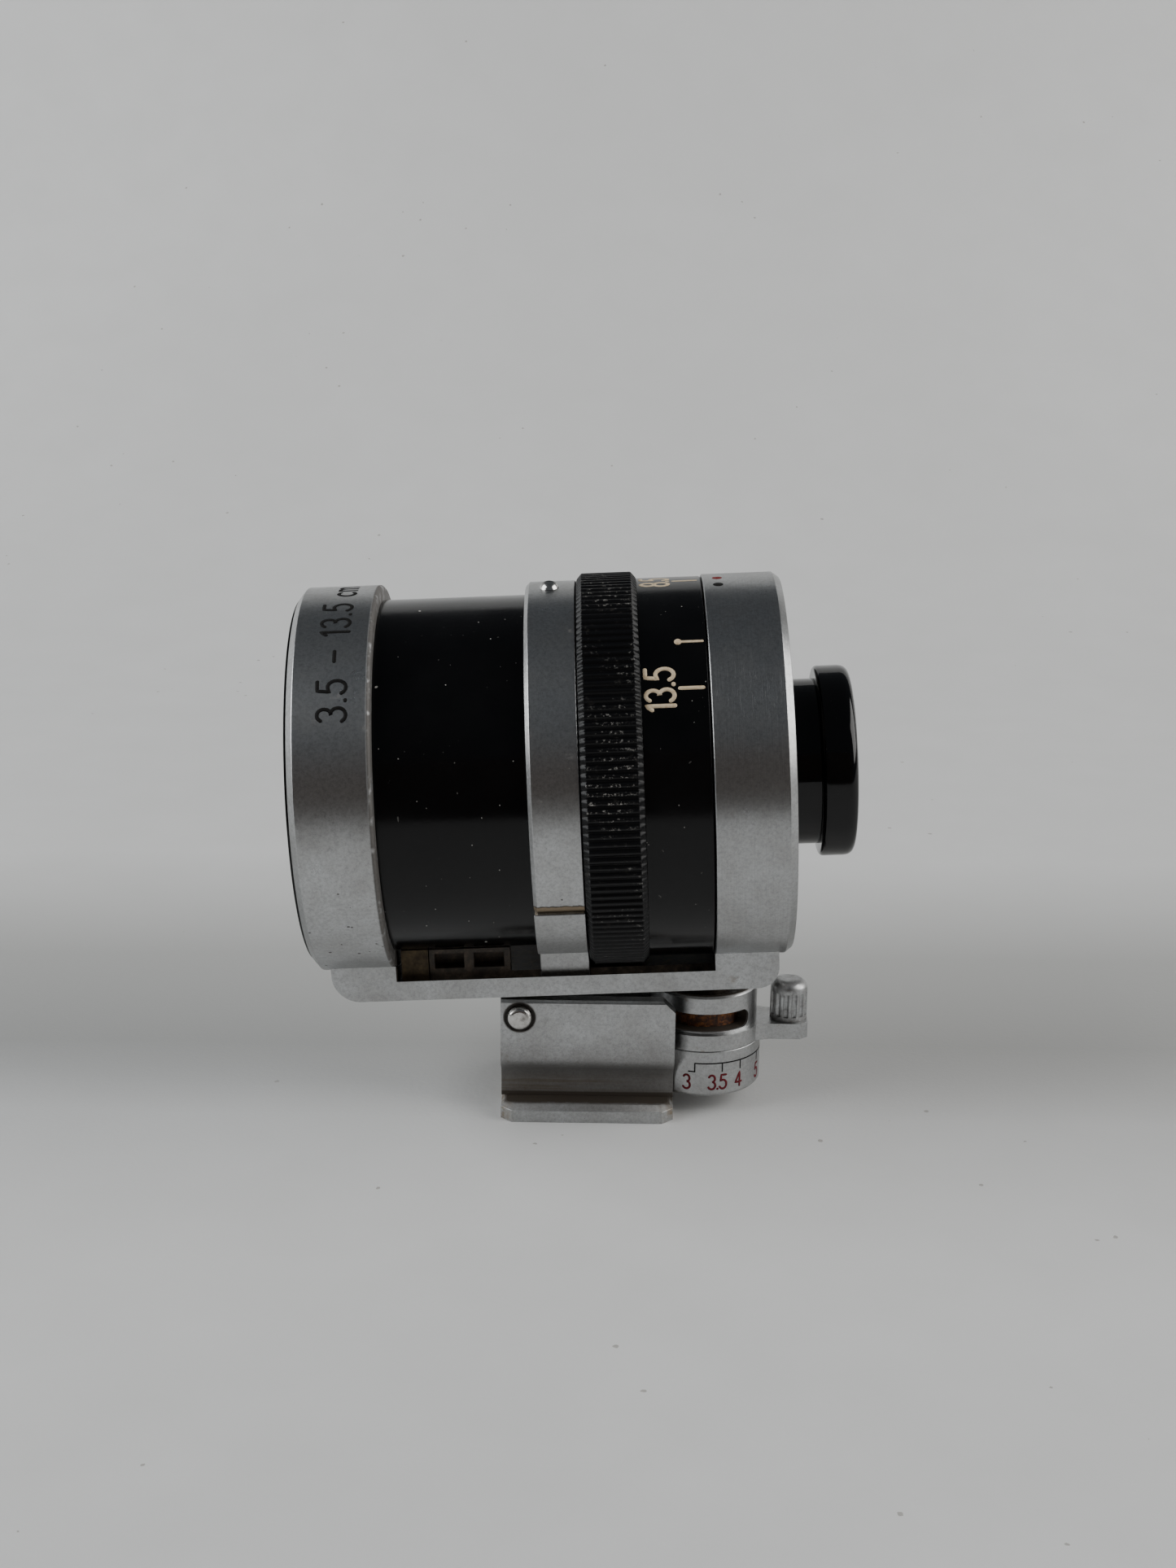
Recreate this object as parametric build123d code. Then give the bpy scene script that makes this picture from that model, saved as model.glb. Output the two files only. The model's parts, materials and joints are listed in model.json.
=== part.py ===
from build123d import *
import math
import os

# Zoom accessory-shoe viewfinder, millimetres. The shoe foot, bracket and
# parallax dial are drawn in the row frame (+X towards the eyepiece, +Z up,
# origin under the foot plate). Everything on the finder is drawn with its
# optical axis on X and then tilted and lifted into place by on_finder().

# ---- driving dimensions -------------------------------------------------
AXIS_HEIGHT = 40.4
TILT_DEG = 3.0
AXIS_SHIFT = -0.3

PLATE_LONG = 20.2
PLATE_WIDE = 18.6
PLATE_THICK = 2.1
PLATE_BEVEL = 0.65

BRACKET_LONG = 20.2
BRACKET_WIDE = 18.0
BRACKET_TOP = 15.1
COVE_TOP = 8.6
NECK_WIDE = 12.4
NECK_TOP = 4.0
CHANNEL_WIDE = 14.6
CHANNEL_FLOOR = 8.0
TROUGH_WIDE = 8.8
TROUGH_FLOOR = 5.1

PIVOT_X = -7.9
PIVOT_Z = 13.0
PIN_R = 1.1
PIN_HEAD_R = 1.45

DIAL_X = 13.7
DRUM_R = 6.9
DRUM_LOW = 2.4
DRUM_TOP = 8.1
BAND_R = 6.95
BAND_LOW = 8.18
BAND_TOP = 10.1
COLLAR_R = 6.4
COLLAR_TOP = 14.75
SPINDLE_R = 4.6
SPINDLE_SEAT = 5.5
SPINDLE_BORE_R = 3.35
SPINDLE_TOP = 13.1
SLOT_LOW = 10.4
SLOT_TOP = 12.6
PLUNGER_R = 3.28
PLUNGER_TOP = 16.55
GRIP_X = 23.9
GRIP_R = 2.2
GRIP_TOP = 14.9
ARM_END = 26.1
KNOB_HALF = 2.7

RING_FRONT = (-32.6, -23.45)
RING_FRONT_R = 22.15
BEZEL_LIP = 0.3
BARREL = (-23.45, -6.95)
BARREL_R = 20.4
BARREL_WALL = 0.5
BARREL_OPEN_DEG = 30.0
MID = (-6.95, -1.3)
MID_R = 21.85
BRIDGE_R = 22.25
GRIP_RING = (-1.2, 5.6)
GRIP_RING_R = 22.6
RIDGES = 150
RIDGE_DEPTH = 0.32
SLEEVE = (5.6, 12.9)
SLEEVE_R = 21.8
RING_REAR = (13.05, 21.9)
RING_REAR_R = 22.0
NECK = (21.9, 25.6)
NECK_R = 9.55
FLANGE = (25.6, 29.6)
FLANGE_R = 11.0
EYE_BORE_R = 8.0

CRADLE = (-30.9, 20.4)
CRADLE_HALF = 9.75
CRADLE_BOTTOM = -24.1
RECESS = (-23.45, 13.1)
RECESS_R = 23.85
RECESS_FLOOR = -22.95
LUG = (-10.0, -5.4)
LUG_HALF = 7.1

GUIDE_IN = 15.6
GUIDE_OUT = 16.6
CAM_IN = 16.7
CAM_OUT = 18.2
CARRIER_R = 15.53
PIN_FOLLOW_R = 0.9
ZOOM_LOW = -55
ZOOM_HIGH = 95
FRONT_LEAD = 2.3
REAR_LEAD = -1.5
FRONT_PIN_U = -11.6
REAR_PIN_U = 4.2

os.makedirs("parts", exist_ok=True)


def box(x, y, z):
    """Box from its three (low, high) ranges."""
    size = (x[1] - x[0], y[1] - y[0], z[1] - z[0])
    mid = Pos((x[0] + x[1]) / 2, (y[0] + y[1]) / 2, (z[0] + z[1]) / 2)
    return mid * Box(*size)


def post(r, x, y, z):
    """Upright cylinder of radius r over the height range z."""
    return Pos(x, y, (z[0] + z[1]) / 2) * Cylinder(r, z[1] - z[0])


def rod_y(r, x, z, y):
    """Cylinder along Y over the range y."""
    return Pos(x, (y[0] + y[1]) / 2, z) * Rot(90, 0, 0) * Cylinder(r, y[1] - y[0])


def turned(points, angle=360):
    """Body of revolution about X from a closed (u, r) profile."""
    face = make_face(Polyline(*points, close=True))
    return revolve(face, axis=Axis.X, revolution_arc=angle)


def tube(r_in, r_out, u):
    """Plain tube along X."""
    return turned([(u[0], r_in), (u[1], r_in), (u[1], r_out), (u[0], r_out)])


def lens(r, u, front_sag, rear_sag):
    """Lens of edge radius r, edges at u; a sag bulges outwards when positive."""
    low = u[0] - max(front_sag, 0)
    high = u[1] + max(rear_sag, 0)
    body = tube(0, r, (low, high))
    for edge, sag, way in ((u[0], front_sag, -1), (u[1], rear_sag, 1)):
        seat = r + 0.2 if sag > 0 else r - 0.3
        ball_r = (seat * seat + sag * sag) / (2 * abs(sag))
        centre = edge + way * sag - way * math.copysign(ball_r, sag)
        ball = Pos(centre, 0, 0) * Sphere(ball_r)
        body = body & ball if sag > 0 else body - ball
    return body


def wedge(u, reach, middle_deg, half_deg):
    """Prism along X covering the angles middle +- half, from the -Y side up."""
    pts = [(0, 0)]
    for k in range(5):
        a = math.radians(middle_deg - half_deg + k * half_deg / 2)
        pts.append((-reach * math.cos(a), reach * math.sin(a)))
    face = Plane.YZ * make_face(Polyline(*pts, close=True))
    return Pos(u[0], 0, 0) * extrude(face, u[1] - u[0])


def on_finder(shape):
    """Finder-frame shape placed in the row frame."""
    return Pos(0, 0, AXIS_HEIGHT) * Rot(0, -TILT_DEG, 0) * Pos(-AXIS_SHIFT, 0, 0) * shape


def save(shape, node):
    export_step(shape, "parts/" + node + ".step")
    print(node, round(shape.volume, 2))


# ---- shoe foot ----------------------------------------------------------
half_long = PLATE_LONG / 2
half_wide = PLATE_WIDE / 2
plate = Box(PLATE_LONG, PLATE_WIDE, PLATE_THICK)
plate = Pos(0, 0, PLATE_THICK / 2) * plate
plate = chamfer(plate.edges().filter_by(Axis.Z), 1.3)
plate = chamfer(plate.faces().sort_by(Axis.Z)[-1].edges(), PLATE_BEVEL)

screws = []
for sx in (-6.5, 6.5):
    for sy in (-3.0, 3.0):
        shank = post(0.8, sx, sy, (0.9, 4.2))
        head = Pos(sx, sy, 0.55) * Cone(1.6, 0.8, 0.7)
        slot = box((sx - 2, sx + 2), (sy - 0.2, sy + 0.2), (0.1, 0.55))
        screws.append(shank + head - slot)
screw_fill = []
for sx in (-6.5, 6.5):
    for sy in (-3.0, 3.0):
        sink = post(0.8, sx, sy, (0.0, 4.2))
        sink += post(1.6, sx, sy, (0.0, 0.2))
        sink += Pos(sx, sy, 0.55) * Cone(1.6, 0.8, 0.7)
        screw_fill.append(sink)
plate = plate - screw_fill
save(plate, "shoe_foot_plate")
save(Compound(screws), "foot_screws")

# ---- foot bracket: two walls that sweep in to a narrow neck -------------
wall = BRACKET_WIDE / 2
neck = NECK_WIDE / 2
sweep = 2 * math.atan2(wall - neck, COVE_TOP - NECK_TOP)
sweep_r = (COVE_TOP - NECK_TOP) / (2 * math.sin(sweep))
meet = ((wall + neck) / 2, (COVE_TOP + NECK_TOP) / 2)
bow = sweep_r * (1 - math.cos(sweep / 2))
climb = sweep_r * math.sin(sweep / 2)
outline = Line((-neck, PLATE_THICK), (neck, PLATE_THICK))
for way in (-1, 1):
    outline += Line((way * neck, PLATE_THICK), (way * neck, NECK_TOP))
    outline += ThreePointArc(
        (way * neck, NECK_TOP), (way * (neck + bow), NECK_TOP + climb),
        (way * meet[0], meet[1]))
    outline += ThreePointArc(
        (way * meet[0], meet[1]), (way * (wall - bow), COVE_TOP - climb),
        (way * wall, COVE_TOP))
    outline += Line((way * wall, COVE_TOP), (way * wall, BRACKET_TOP - 0.3))
    outline += Line((way * wall, BRACKET_TOP - 0.3), (way * (wall - 0.3), BRACKET_TOP))
outline += Line((0.3 - wall, BRACKET_TOP), (wall - 0.3, BRACKET_TOP))
section = Plane.YZ * make_face(outline.edges())
bracket = Pos(-BRACKET_LONG / 2, 0, 0) * extrude(section, BRACKET_LONG)
over = BRACKET_LONG
channel = CHANNEL_WIDE / 2
bracket -= box((-over, over), (-channel, channel), (CHANNEL_FLOOR, 20))
bracket -= box((-over, over), (-TROUGH_WIDE / 2, TROUGH_WIDE / 2), (TROUGH_FLOOR, 20))
corner = make_face(Polyline((8.6, 15.2), (10.2, 15.2), (10.2, 13.6), close=True))
for side in (-1, 1):
    clip = Pos(0, side * 8.0, 0) * extrude(Plane.XZ * corner, 2.2, both=True)
    bracket -= clip
pin_bore = rod_y(PIN_R, PIVOT_X, PIVOT_Z, (-12, 12))
bracket -= pin_bore
for side in (-1, 1):
    bracket -= rod_y(1.78, PIVOT_X, PIVOT_Z, tuple(sorted((side * 8.6, side * 9.5))))
bracket = bracket - screw_fill

# ---- pivot pin with two domed heads -------------------------------------
pin = rod_y(PIN_R, PIVOT_X, PIVOT_Z, (-8.6, 8.6))
for side in (-1, 1):
    head = rod_y(PIN_HEAD_R, PIVOT_X, PIVOT_Z, (0, 1.1))
    head = fillet(head.edges().group_by(Axis.Y)[-1], 0.7)
    if side < 0:
        head = Pos(2 * PIVOT_X, 0, 0) * Rot(0, 0, 180) * head
    pin += Pos(0, side * 8.6, 0) * head
save(pin, "pivot_pin")

# ---- leaf spring under the pivot lug ------------------------------------
leaf_pts = [(4.6, 5.1), (-1.6, 5.1), (-9.6, 10.0), (-9.4, 10.3), (-1.5, 5.4), (4.6, 5.4)]
leaf = make_face(Polyline(*leaf_pts, close=True))
spring = extrude(Plane.XZ * leaf, 2.6, both=True)
spring_screw = post(1.6, 2.4, 0, (5.4, 6.1)) + post(0.8, 2.4, 0, (3.8, 5.4))
spring_screw -= box((0.4, 4.4), (-0.2, 0.2), (5.85, 6.2))
spring -= post(0.8, 2.4, 0, (3.8, 5.4))
save(spring, "leaf_spring")
save(spring_screw, "spring_screw")
bracket -= post(0.8, 2.4, 0, (3.8, 5.4))
save(bracket, "foot_bracket")

# ---- parallax drum, spindle and retaining ring --------------------------
drum = post(DRUM_R, DIAL_X, 0, (DRUM_LOW, DRUM_TOP))
drum = chamfer(drum.edges().group_by(Axis.Z)[0], 0.4)
inside = box((0, half_long), (-10, 10), (0, 10))
tongue = box((0, half_long), (-TROUGH_WIDE / 2, TROUGH_WIDE / 2), (TROUGH_FLOOR, DRUM_TOP))
drum = (drum - inside) + (post(DRUM_R, DIAL_X, 0, (DRUM_LOW, DRUM_TOP)) & tongue)
drum -= post(SPINDLE_R, DIAL_X, 0, (SPINDLE_SEAT, 12))
drum -= post(SPINDLE_BORE_R, DIAL_X, 0, (4.2, 12))
save(drum, "parallax_drum")
spindle = post(SPINDLE_R, DIAL_X, 0, (SPINDLE_SEAT, SPINDLE_TOP))
spindle -= post(SPINDLE_BORE_R, DIAL_X, 0, (4.6, 15))
save(spindle, "drum_spindle")
keeper = post(5.6, DIAL_X, 0, (SPINDLE_TOP, 13.9)) - post(SPINDLE_BORE_R, DIAL_X, 0, (12, 15))
save(keeper, "collar_retaining_ring")

# ---- parallax lever: band, slotted collar, arm and grip post ------------
collar = post(COLLAR_R, DIAL_X, 0, (BAND_TOP, COLLAR_TOP))
collar = chamfer(collar.edges().group_by(Axis.Z)[-1], 0.25)
collar += post(BAND_R, DIAL_X, 0, (BAND_LOW, BAND_TOP))
knob_pts = [
    (DIAL_X + 2.6, -6.3),
    (DIAL_X + 4.6, -4.6),
    (DIAL_X + 6.2, -3.2),
    (21.6, -KNOB_HALF),
    (ARM_END - 0.9, -KNOB_HALF),
    (ARM_END, -KNOB_HALF + 0.9),
    (ARM_END, KNOB_HALF - 0.9),
    (ARM_END - 0.9, KNOB_HALF),
    (21.6, KNOB_HALF),
    (DIAL_X + 6.2, 3.2),
    (DIAL_X + 4.6, 4.6),
    (DIAL_X + 2.6, 6.3),
]
knob = extrude(make_face(Polyline(*knob_pts, close=True)), BAND_TOP - BAND_LOW)
collar += Pos(0, 0, BAND_LOW) * knob
collar -= post(SPINDLE_R + 0.08, DIAL_X, 0, (BAND_LOW - 1, COLLAR_TOP + 1))
collar -= post(5.7, DIAL_X, 0, (SPINDLE_TOP - 0.06, COLLAR_TOP + 1))
slot_half = (SLOT_TOP - SLOT_LOW) / 2
slot_z = (SLOT_LOW + SLOT_TOP) / 2
inset = math.degrees(slot_half / COLLAR_R)
sector = [(0, 0)]
for k in range(9):
    a = math.radians(-152 + inset + k * (116 - 2 * inset) / 8)
    sector.append((12 * math.cos(a), 12 * math.sin(a)))
sector_face = make_face(Polyline(*sector, close=True))
window = Pos(DIAL_X, 0, SLOT_LOW) * extrude(sector_face, SLOT_TOP - SLOT_LOW)
for end_deg in (-152 + inset, -36 - inset):
    end = Rot(0, 0, end_deg) * Pos(5, 0, 0) * Rot(0, 90, 0) * Cylinder(slot_half, 10)
    window += Pos(DIAL_X, 0, slot_z) * end
window &= post(COLLAR_R + 1, DIAL_X, 0, (9, 14)) - post(SPINDLE_R, DIAL_X, 0, (9, 14))
collar -= window
save(collar, "lever_collar")

grip = post(GRIP_R, GRIP_X, 0, (BAND_TOP, GRIP_TOP))
grip = fillet(grip.edges().group_by(Axis.Z)[-1], 1.1)
flutes = []
for k in range(14):
    a = 2 * math.pi * k / 14
    fx = GRIP_X + (GRIP_R + 0.12) * math.cos(a)
    fy = (GRIP_R + 0.12) * math.sin(a)
    flutes.append(post(0.36, fx, fy, (BAND_TOP + 0.5, 13.5)))
grip = grip - flutes
save(grip, "lever_grip_post")

plunger = post(PLUNGER_R, DIAL_X, 0, (5.6, 15.5))
plunger += post(1.9, DIAL_X, 0, (15.5, PLUNGER_TOP))
plunger = fillet(plunger.edges().group_by(Axis.Z)[-1], 0.7)
save(plunger, "lift_plunger")

# ---- cradle under the finder --------------------------------------------
cradle = box(CRADLE, (-CRADLE_HALF, CRADLE_HALF), (CRADLE_BOTTOM, -17.5))
low_edges = cradle.edges().filter_by(Axis.Y).group_by(Axis.Z)[0].sort_by(Axis.X)
cradle = fillet(low_edges[0], 3.3)
low_edges = cradle.edges().filter_by(Axis.Y).group_by(Axis.Z)[0].sort_by(Axis.X)
cradle = fillet(low_edges[-1], 2.5)
cradle -= tube(0, RING_FRONT_R, (-40, RECESS[0]))
cradle -= tube(0, RING_REAR_R, (RECESS[1], 40))
hollow = tube(0, RECESS_R, RECESS) & box(RECESS, (-15, 15), (RECESS_FLOOR, 0))
cradle -= hollow
tall_front = box((-40, RECESS[0]), (-12, 12), (-19.3, 0))
tall_rear = box((RECESS[1], 40), (-12, 12), (-19.3, 0))
cradle = cradle - tall_front - tall_rear

cradle_fixings = []
cradle_sinks = []
for cu in (-27.2, 17.6):
    for cy in (-5.0, 5.0):
        shank = post(0.8, cu, cy, (-23.2, -19.9))
        head = Pos(cu, cy, -23.55) * Cone(1.6, 0.8, 0.7)
        slot = box((cu - 2, cu + 2), (cy - 0.2, cy + 0.2), (-23.9, -23.6))
        cradle_fixings.append(shank + head - slot)
        cradle_sinks.append(shank + head + post(1.6, cu, cy, (-25, -23.9)))
cradle = cradle - cradle_sinks
save(on_finder(cradle), "cradle")
save(on_finder(Compound(cradle_fixings)), "cradle_screws")

# The lug hangs between the bracket walls and turns on the pivot pin.
lift = math.radians(TILT_DEG)
pin_u = PIVOT_X * math.cos(lift) + (PIVOT_Z - AXIS_HEIGHT) * math.sin(lift) + AXIS_SHIFT
pin_z = -PIVOT_X * math.sin(lift) + (PIVOT_Z - AXIS_HEIGHT) * math.cos(lift)
lug = box((pin_u - 2.2, pin_u + 3.4), (-LUG_HALF, LUG_HALF), (pin_z, CRADLE_BOTTOM))
lug += rod_y(2.2, pin_u, pin_z, (-LUG_HALF, LUG_HALF))
lug -= rod_y(PIN_R + 0.06, pin_u, pin_z, (-9, 9))
save(on_finder(lug), "cradle_pivot_lug")

# ---- front ring, bezel and the two fixed front lenses -------------------
f0, f1 = RING_FRONT
front = turned([
    (f0, 20.9), (f0, RING_FRONT_R - 0.9), (f0 + 0.75, RING_FRONT_R), (f1 - 0.25, RING_FRONT_R),
    (f1, RING_FRONT_R - 0.25), (f1, GUIDE_OUT), (f1 - 1.2, GUIDE_OUT), (f1 - 1.2, 19.0),
    (f0 + 3.1, 19.0), (f0 + 3.1, 20.9),
])
front = front - cradle_sinks
save(on_finder(front), "front_ring")
bezel = turned([
    (f0 - BEZEL_LIP, 20.5), (f0 - BEZEL_LIP, 20.9), (f0 + 3.1, 20.9), (f0 + 3.1, 17.2),
    (f0 + 2.3, 17.2), (f0 + 2.3, 17.9), (f0 + 1.6, 18.1), (f0 + 1.6, 18.8), (f0 + 0.9, 19.0),
    (f0 + 0.9, 19.7), (f0 + 0.2, 19.9),
])
save(on_finder(bezel), "front_bezel")
save(on_finder(lens(19.0, (f0 + 3.5, f0 + 5.0), 1.6, -0.9)), "objective_lens")
spacer = tube(17.4, 19.0, (f0 + 5.0, f0 + 5.9))
save(on_finder(spacer), "objective_spacer")
save(on_finder(lens(19.0, (f0 + 5.9, f1 - 1.2), -1.1, -0.3)), "objective_inner_lens")

# ---- black front barrel, open underneath --------------------------------
barrel = tube(BARREL_R - BARREL_WALL, BARREL_R, BARREL)
barrel -= wedge((BARREL[0] - 1, BARREL[1] + 1), 40, -90, BARREL_OPEN_DEG)
save(on_finder(barrel), "front_barrel")

# ---- middle band over its bridge block ----------------------------------
m0, m1 = MID
band = turned([
    (m0, 19.0), (m0, MID_R - 0.45), (m0 + 0.45, MID_R), (m1 - 0.1, MID_R), (m1, MID_R - 0.1),
    (m1, 19.0),
])
under = wedge((m0 - 1, m1 + 1), 40, -90, 60.2)
band -= under
bridge = tube(19.0, BRIDGE_R, MID) & wedge((m0, m1), 40, -90, 60.2)
bridge &= box(MID, (-30, 30), (-17.6, 0))
bridge_block = bridge
pedestal = box(MID, (-8.6, 8.6), (-30, -17.6)) & hollow
bridge_block += pedestal - tube(0, 19.0, (m0 - 1, m1 + 1))
save(on_finder(bridge_block), "collar_bridge_block")
stops = []
stop_bores = []
for deg in (86, 196):
    turn = Rot(90 - deg, 0, 0)
    shank = post(0.55, -4.2, 0, (19.4, MID_R))
    dome = Pos(-4.2, 0, MID_R) * (Sphere(1.15) & box((-2, 2), (-2, 2), (0.35, 2)))
    dome = Pos(0, 0, -0.35) * dome
    cut = box((-5.4, -3.0), (-0.14, 0.14), (MID_R + 0.45, MID_R + 1.2))
    stops.append(turn * (shank + dome - cut))
    stop_bores.append(turn * post(0.55, -4.2, 0, (19.4, MID_R + 0.2)))
band = band - stop_bores
save(on_finder(band), "mid_collar")
save(on_finder(Compound(stops)), "collar_screws")

# ---- window rail and key block seen under the open barrel ---------------
rail = box((-19.7, -10.4), (-8.2, -5.9), (-30, -18.6)) & hollow
rail -= box((-19.1, -15.7), (-9, -6.5), (-20.9, -19.1))
rail -= box((-14.6, -11.1), (-9, -6.5), (-20.9, -19.1))
skirt = box((-10.4, MID[0] - 0.1), (-8.2, -7.0), (-30, -20))
skirt += box((MID[1] + 0.1, RECESS[1] - 0.1), (-8.2, -7.0), (-30, -20))
rail += (skirt & hollow) - tube(0, GRIP_RING_R + 0.35, (-12, 14))
save(on_finder(rail), "window_rail")
key = box((-22.9, -19.8), (-8.4, -4.6), (-30, -18.5)) & hollow
save(on_finder(key), "barrel_key_block")

# ---- straight-slotted guide barrel --------------------------------------
lo = math.radians(ZOOM_LOW)
hi = math.radians(ZOOM_HIGH)
guide = tube(GUIDE_IN, GUIDE_OUT, (f1 - 1.2, RING_REAR[0] + 0.6))
for pin_at, lead in ((FRONT_PIN_U, FRONT_LEAD), (REAR_PIN_U, REAR_LEAD)):
    ends = sorted((pin_at + lead * lo, pin_at + lead * hi))
    slot_r = PIN_FOLLOW_R + 0.08
    guide -= box((ends[0], ends[1]), (-slot_r, slot_r), (14, 18))
    for end in ends:
        guide -= post(slot_r, end, 0, (14, 18))
save(on_finder(guide), "guide_barrel")

# ---- cam tube with two helical slots ------------------------------------
cam = tube(CAM_IN, CAM_OUT, (-22.0, SLEEVE[1]))
cutters = []
for pin_at, lead in ((FRONT_PIN_U, FRONT_LEAD), (REAR_PIN_U, REAR_LEAD)):
    deg = ZOOM_LOW - 3.0
    while deg < ZOOM_HIGH + 3.1:
        u = pin_at + lead * math.radians(deg)
        cutters.append(Rot(-deg, 0, 0) * post(PIN_FOLLOW_R + 0.18, u, 0, (15.5, 19.5)))
        deg += 2.5
cam = cam - cutters

# ---- knurled zoom ring ---------------------------------------------------
g0, g1 = GRIP_RING
drive_bores = []
drives = []
for deg in (207, 270, 333):
    turn = Rot(90 - deg, 0, 0)
    drive_bores.append(turn * post(0.9, 2.2, 0, (17.0, 20.2)))
    drives.append(turn * post(0.9, 2.2, 0, (17.0, 19.6)))
zoom = turned([
    (g0, CAM_OUT), (g0, GRIP_RING_R - 0.7), (g0 + 0.6, GRIP_RING_R), (g1 - 0.6, GRIP_RING_R),
    (g1, GRIP_RING_R - 0.7), (g1, CAM_OUT),
])
ridge_cut = Pos(0, 0, GRIP_RING_R) * Rot(45, 0, 0) * Box(g1 - g0 + 2, 2 * 0.23, 2 * 0.23)
ridge_cut = Pos((g0 + g1) / 2, 0, 0) * ridge_cut
ridge_cuts = []
for k in range(RIDGES):
    ridge_cuts.append(Rot(360 * k / RIDGES, 0, 0) * ridge_cut)
zoom = zoom - ridge_cuts
zoom = zoom - drive_bores
cam = cam - drive_bores
save(on_finder(zoom), "zoom_grip_ring")
save(on_finder(cam), "cam_tube")
save(on_finder(Compound(drives)), "drive_screws")

# ---- black scale sleeve ---------------------------------------------------
s0, s1 = SLEEVE
sleeve = turned([
    (s0, CAM_OUT), (s0, SLEEVE_R), (s1 - 0.1, SLEEVE_R), (s1, SLEEVE_R - 0.1), (s1, 20.8),
    (s0 + 1.2, 20.8), (s0 + 1.2, CAM_OUT),
])
save(on_finder(sleeve), "scale_sleeve")

# ---- sliding lens carriers -----------------------------------------------
groups = (
    ("front", FRONT_PIN_U, (-16.2, -8.0), (-14.9, -11.2), 1.1, 1.1),
    ("rear", REAR_PIN_U, (0.8, 8.4), (2.4, 5.2), 0.9, 0.4),
)
for name, pin_at, span, glass, sag_a, sag_b in groups:
    carrier = tube(13.2, CARRIER_R, span)
    carrier += tube(12.2, 13.2, (glass[1] + 0.2, glass[1] + 1.2))
    follower = post(PIN_FOLLOW_R, pin_at, 0, (13.9, 17.95))
    carrier = carrier - follower
    save(on_finder(carrier), name + "_carrier")
    save(on_finder(follower), name + "_follower_pin")
    save(on_finder(lens(13.2, glass, sag_a, sag_b)), name + "_carrier_lens")

# ---- rear ring, cover plate and field mask --------------------------------
r0, r1 = RING_REAR
rear = turned([
    (r0, GUIDE_OUT), (r0, RING_REAR_R - 0.1), (r0 + 0.1, RING_REAR_R), (r1 - 0.8, RING_REAR_R),
    (r1, RING_REAR_R - 0.6), (r1, 20.6), (r0 + 1.6, 20.6), (r0 + 1.6, GUIDE_IN),
    (r0 + 0.6, GUIDE_IN), (r0 + 0.6, GUIDE_OUT),
])
rear = rear - cradle_sinks
save(on_finder(rear), "rear_ring")
cover = tube(NECK_R, 20.6, (r1 - 1.4, r1 - 0.2))
save(on_finder(cover), "rear_cover_plate")
mask = tube(0, GUIDE_IN, (12.3, 12.9))
mask -= box((12, 13.2), (-9.0, 9.0), (-6.0, 6.0))
save(on_finder(mask), "field_mask")

# ---- eyepiece --------------------------------------------------------------
e1 = NECK[1]
neck_tube = turned([
    (17.4, 7.2), (17.4, 11.4), (r1 - 1.4, 11.4), (r1 - 1.4, NECK_R), (e1, NECK_R),
    (e1, EYE_BORE_R), (18.4, EYE_BORE_R), (18.4, 7.2),
])
save(on_finder(neck_tube), "eyepiece_tube")
flange_blank = tube(EYE_BORE_R, FLANGE_R, FLANGE)
outer = flange_blank.edges().filter_by(GeomType.CIRCLE).sort_by(Axis.X)
rear_rim = [e for e in outer if e.center().X > FLANGE[1] - 0.1 and e.radius > 10]
front_rim = [e for e in outer if e.center().X < FLANGE[0] + 0.1 and e.radius > 10]
flange = fillet(rear_rim, 2.0)
front_rim = [
    e for e in flange.edges().filter_by(GeomType.CIRCLE)
    if e.center().X < FLANGE[0] + 0.1 and e.radius > 10
]
flange = fillet(front_rim, 0.5)
save(on_finder(flange), "eyepiece_flange")
save(on_finder(lens(EYE_BORE_R, (23.4, 25.4), 0.9, 0.8)), "eye_lens")
retainer = turned([
    (25.7, 6.9), (25.7, EYE_BORE_R), (27.2, EYE_BORE_R), (27.2, 7.5),
])
save(on_finder(retainer), "eye_lens_retainer")
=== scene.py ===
import json
import math

import bmesh
import bpy
import numpy as np
from mathutils import Matrix, Vector

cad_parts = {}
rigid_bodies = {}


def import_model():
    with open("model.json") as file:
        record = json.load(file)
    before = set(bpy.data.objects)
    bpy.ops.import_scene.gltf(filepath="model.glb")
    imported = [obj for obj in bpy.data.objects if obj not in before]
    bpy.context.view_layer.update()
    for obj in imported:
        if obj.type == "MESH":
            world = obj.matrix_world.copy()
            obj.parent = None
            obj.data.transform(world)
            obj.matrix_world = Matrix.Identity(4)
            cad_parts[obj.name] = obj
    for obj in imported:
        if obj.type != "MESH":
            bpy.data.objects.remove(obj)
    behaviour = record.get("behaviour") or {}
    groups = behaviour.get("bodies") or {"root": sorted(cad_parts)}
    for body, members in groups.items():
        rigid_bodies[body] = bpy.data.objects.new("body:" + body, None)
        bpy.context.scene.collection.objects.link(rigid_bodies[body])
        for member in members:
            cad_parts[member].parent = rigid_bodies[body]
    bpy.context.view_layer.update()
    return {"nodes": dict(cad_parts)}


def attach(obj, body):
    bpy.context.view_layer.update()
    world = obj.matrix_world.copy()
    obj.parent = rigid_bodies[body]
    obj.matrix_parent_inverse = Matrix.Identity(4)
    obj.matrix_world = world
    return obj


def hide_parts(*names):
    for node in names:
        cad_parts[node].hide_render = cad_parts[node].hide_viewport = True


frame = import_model()

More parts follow.
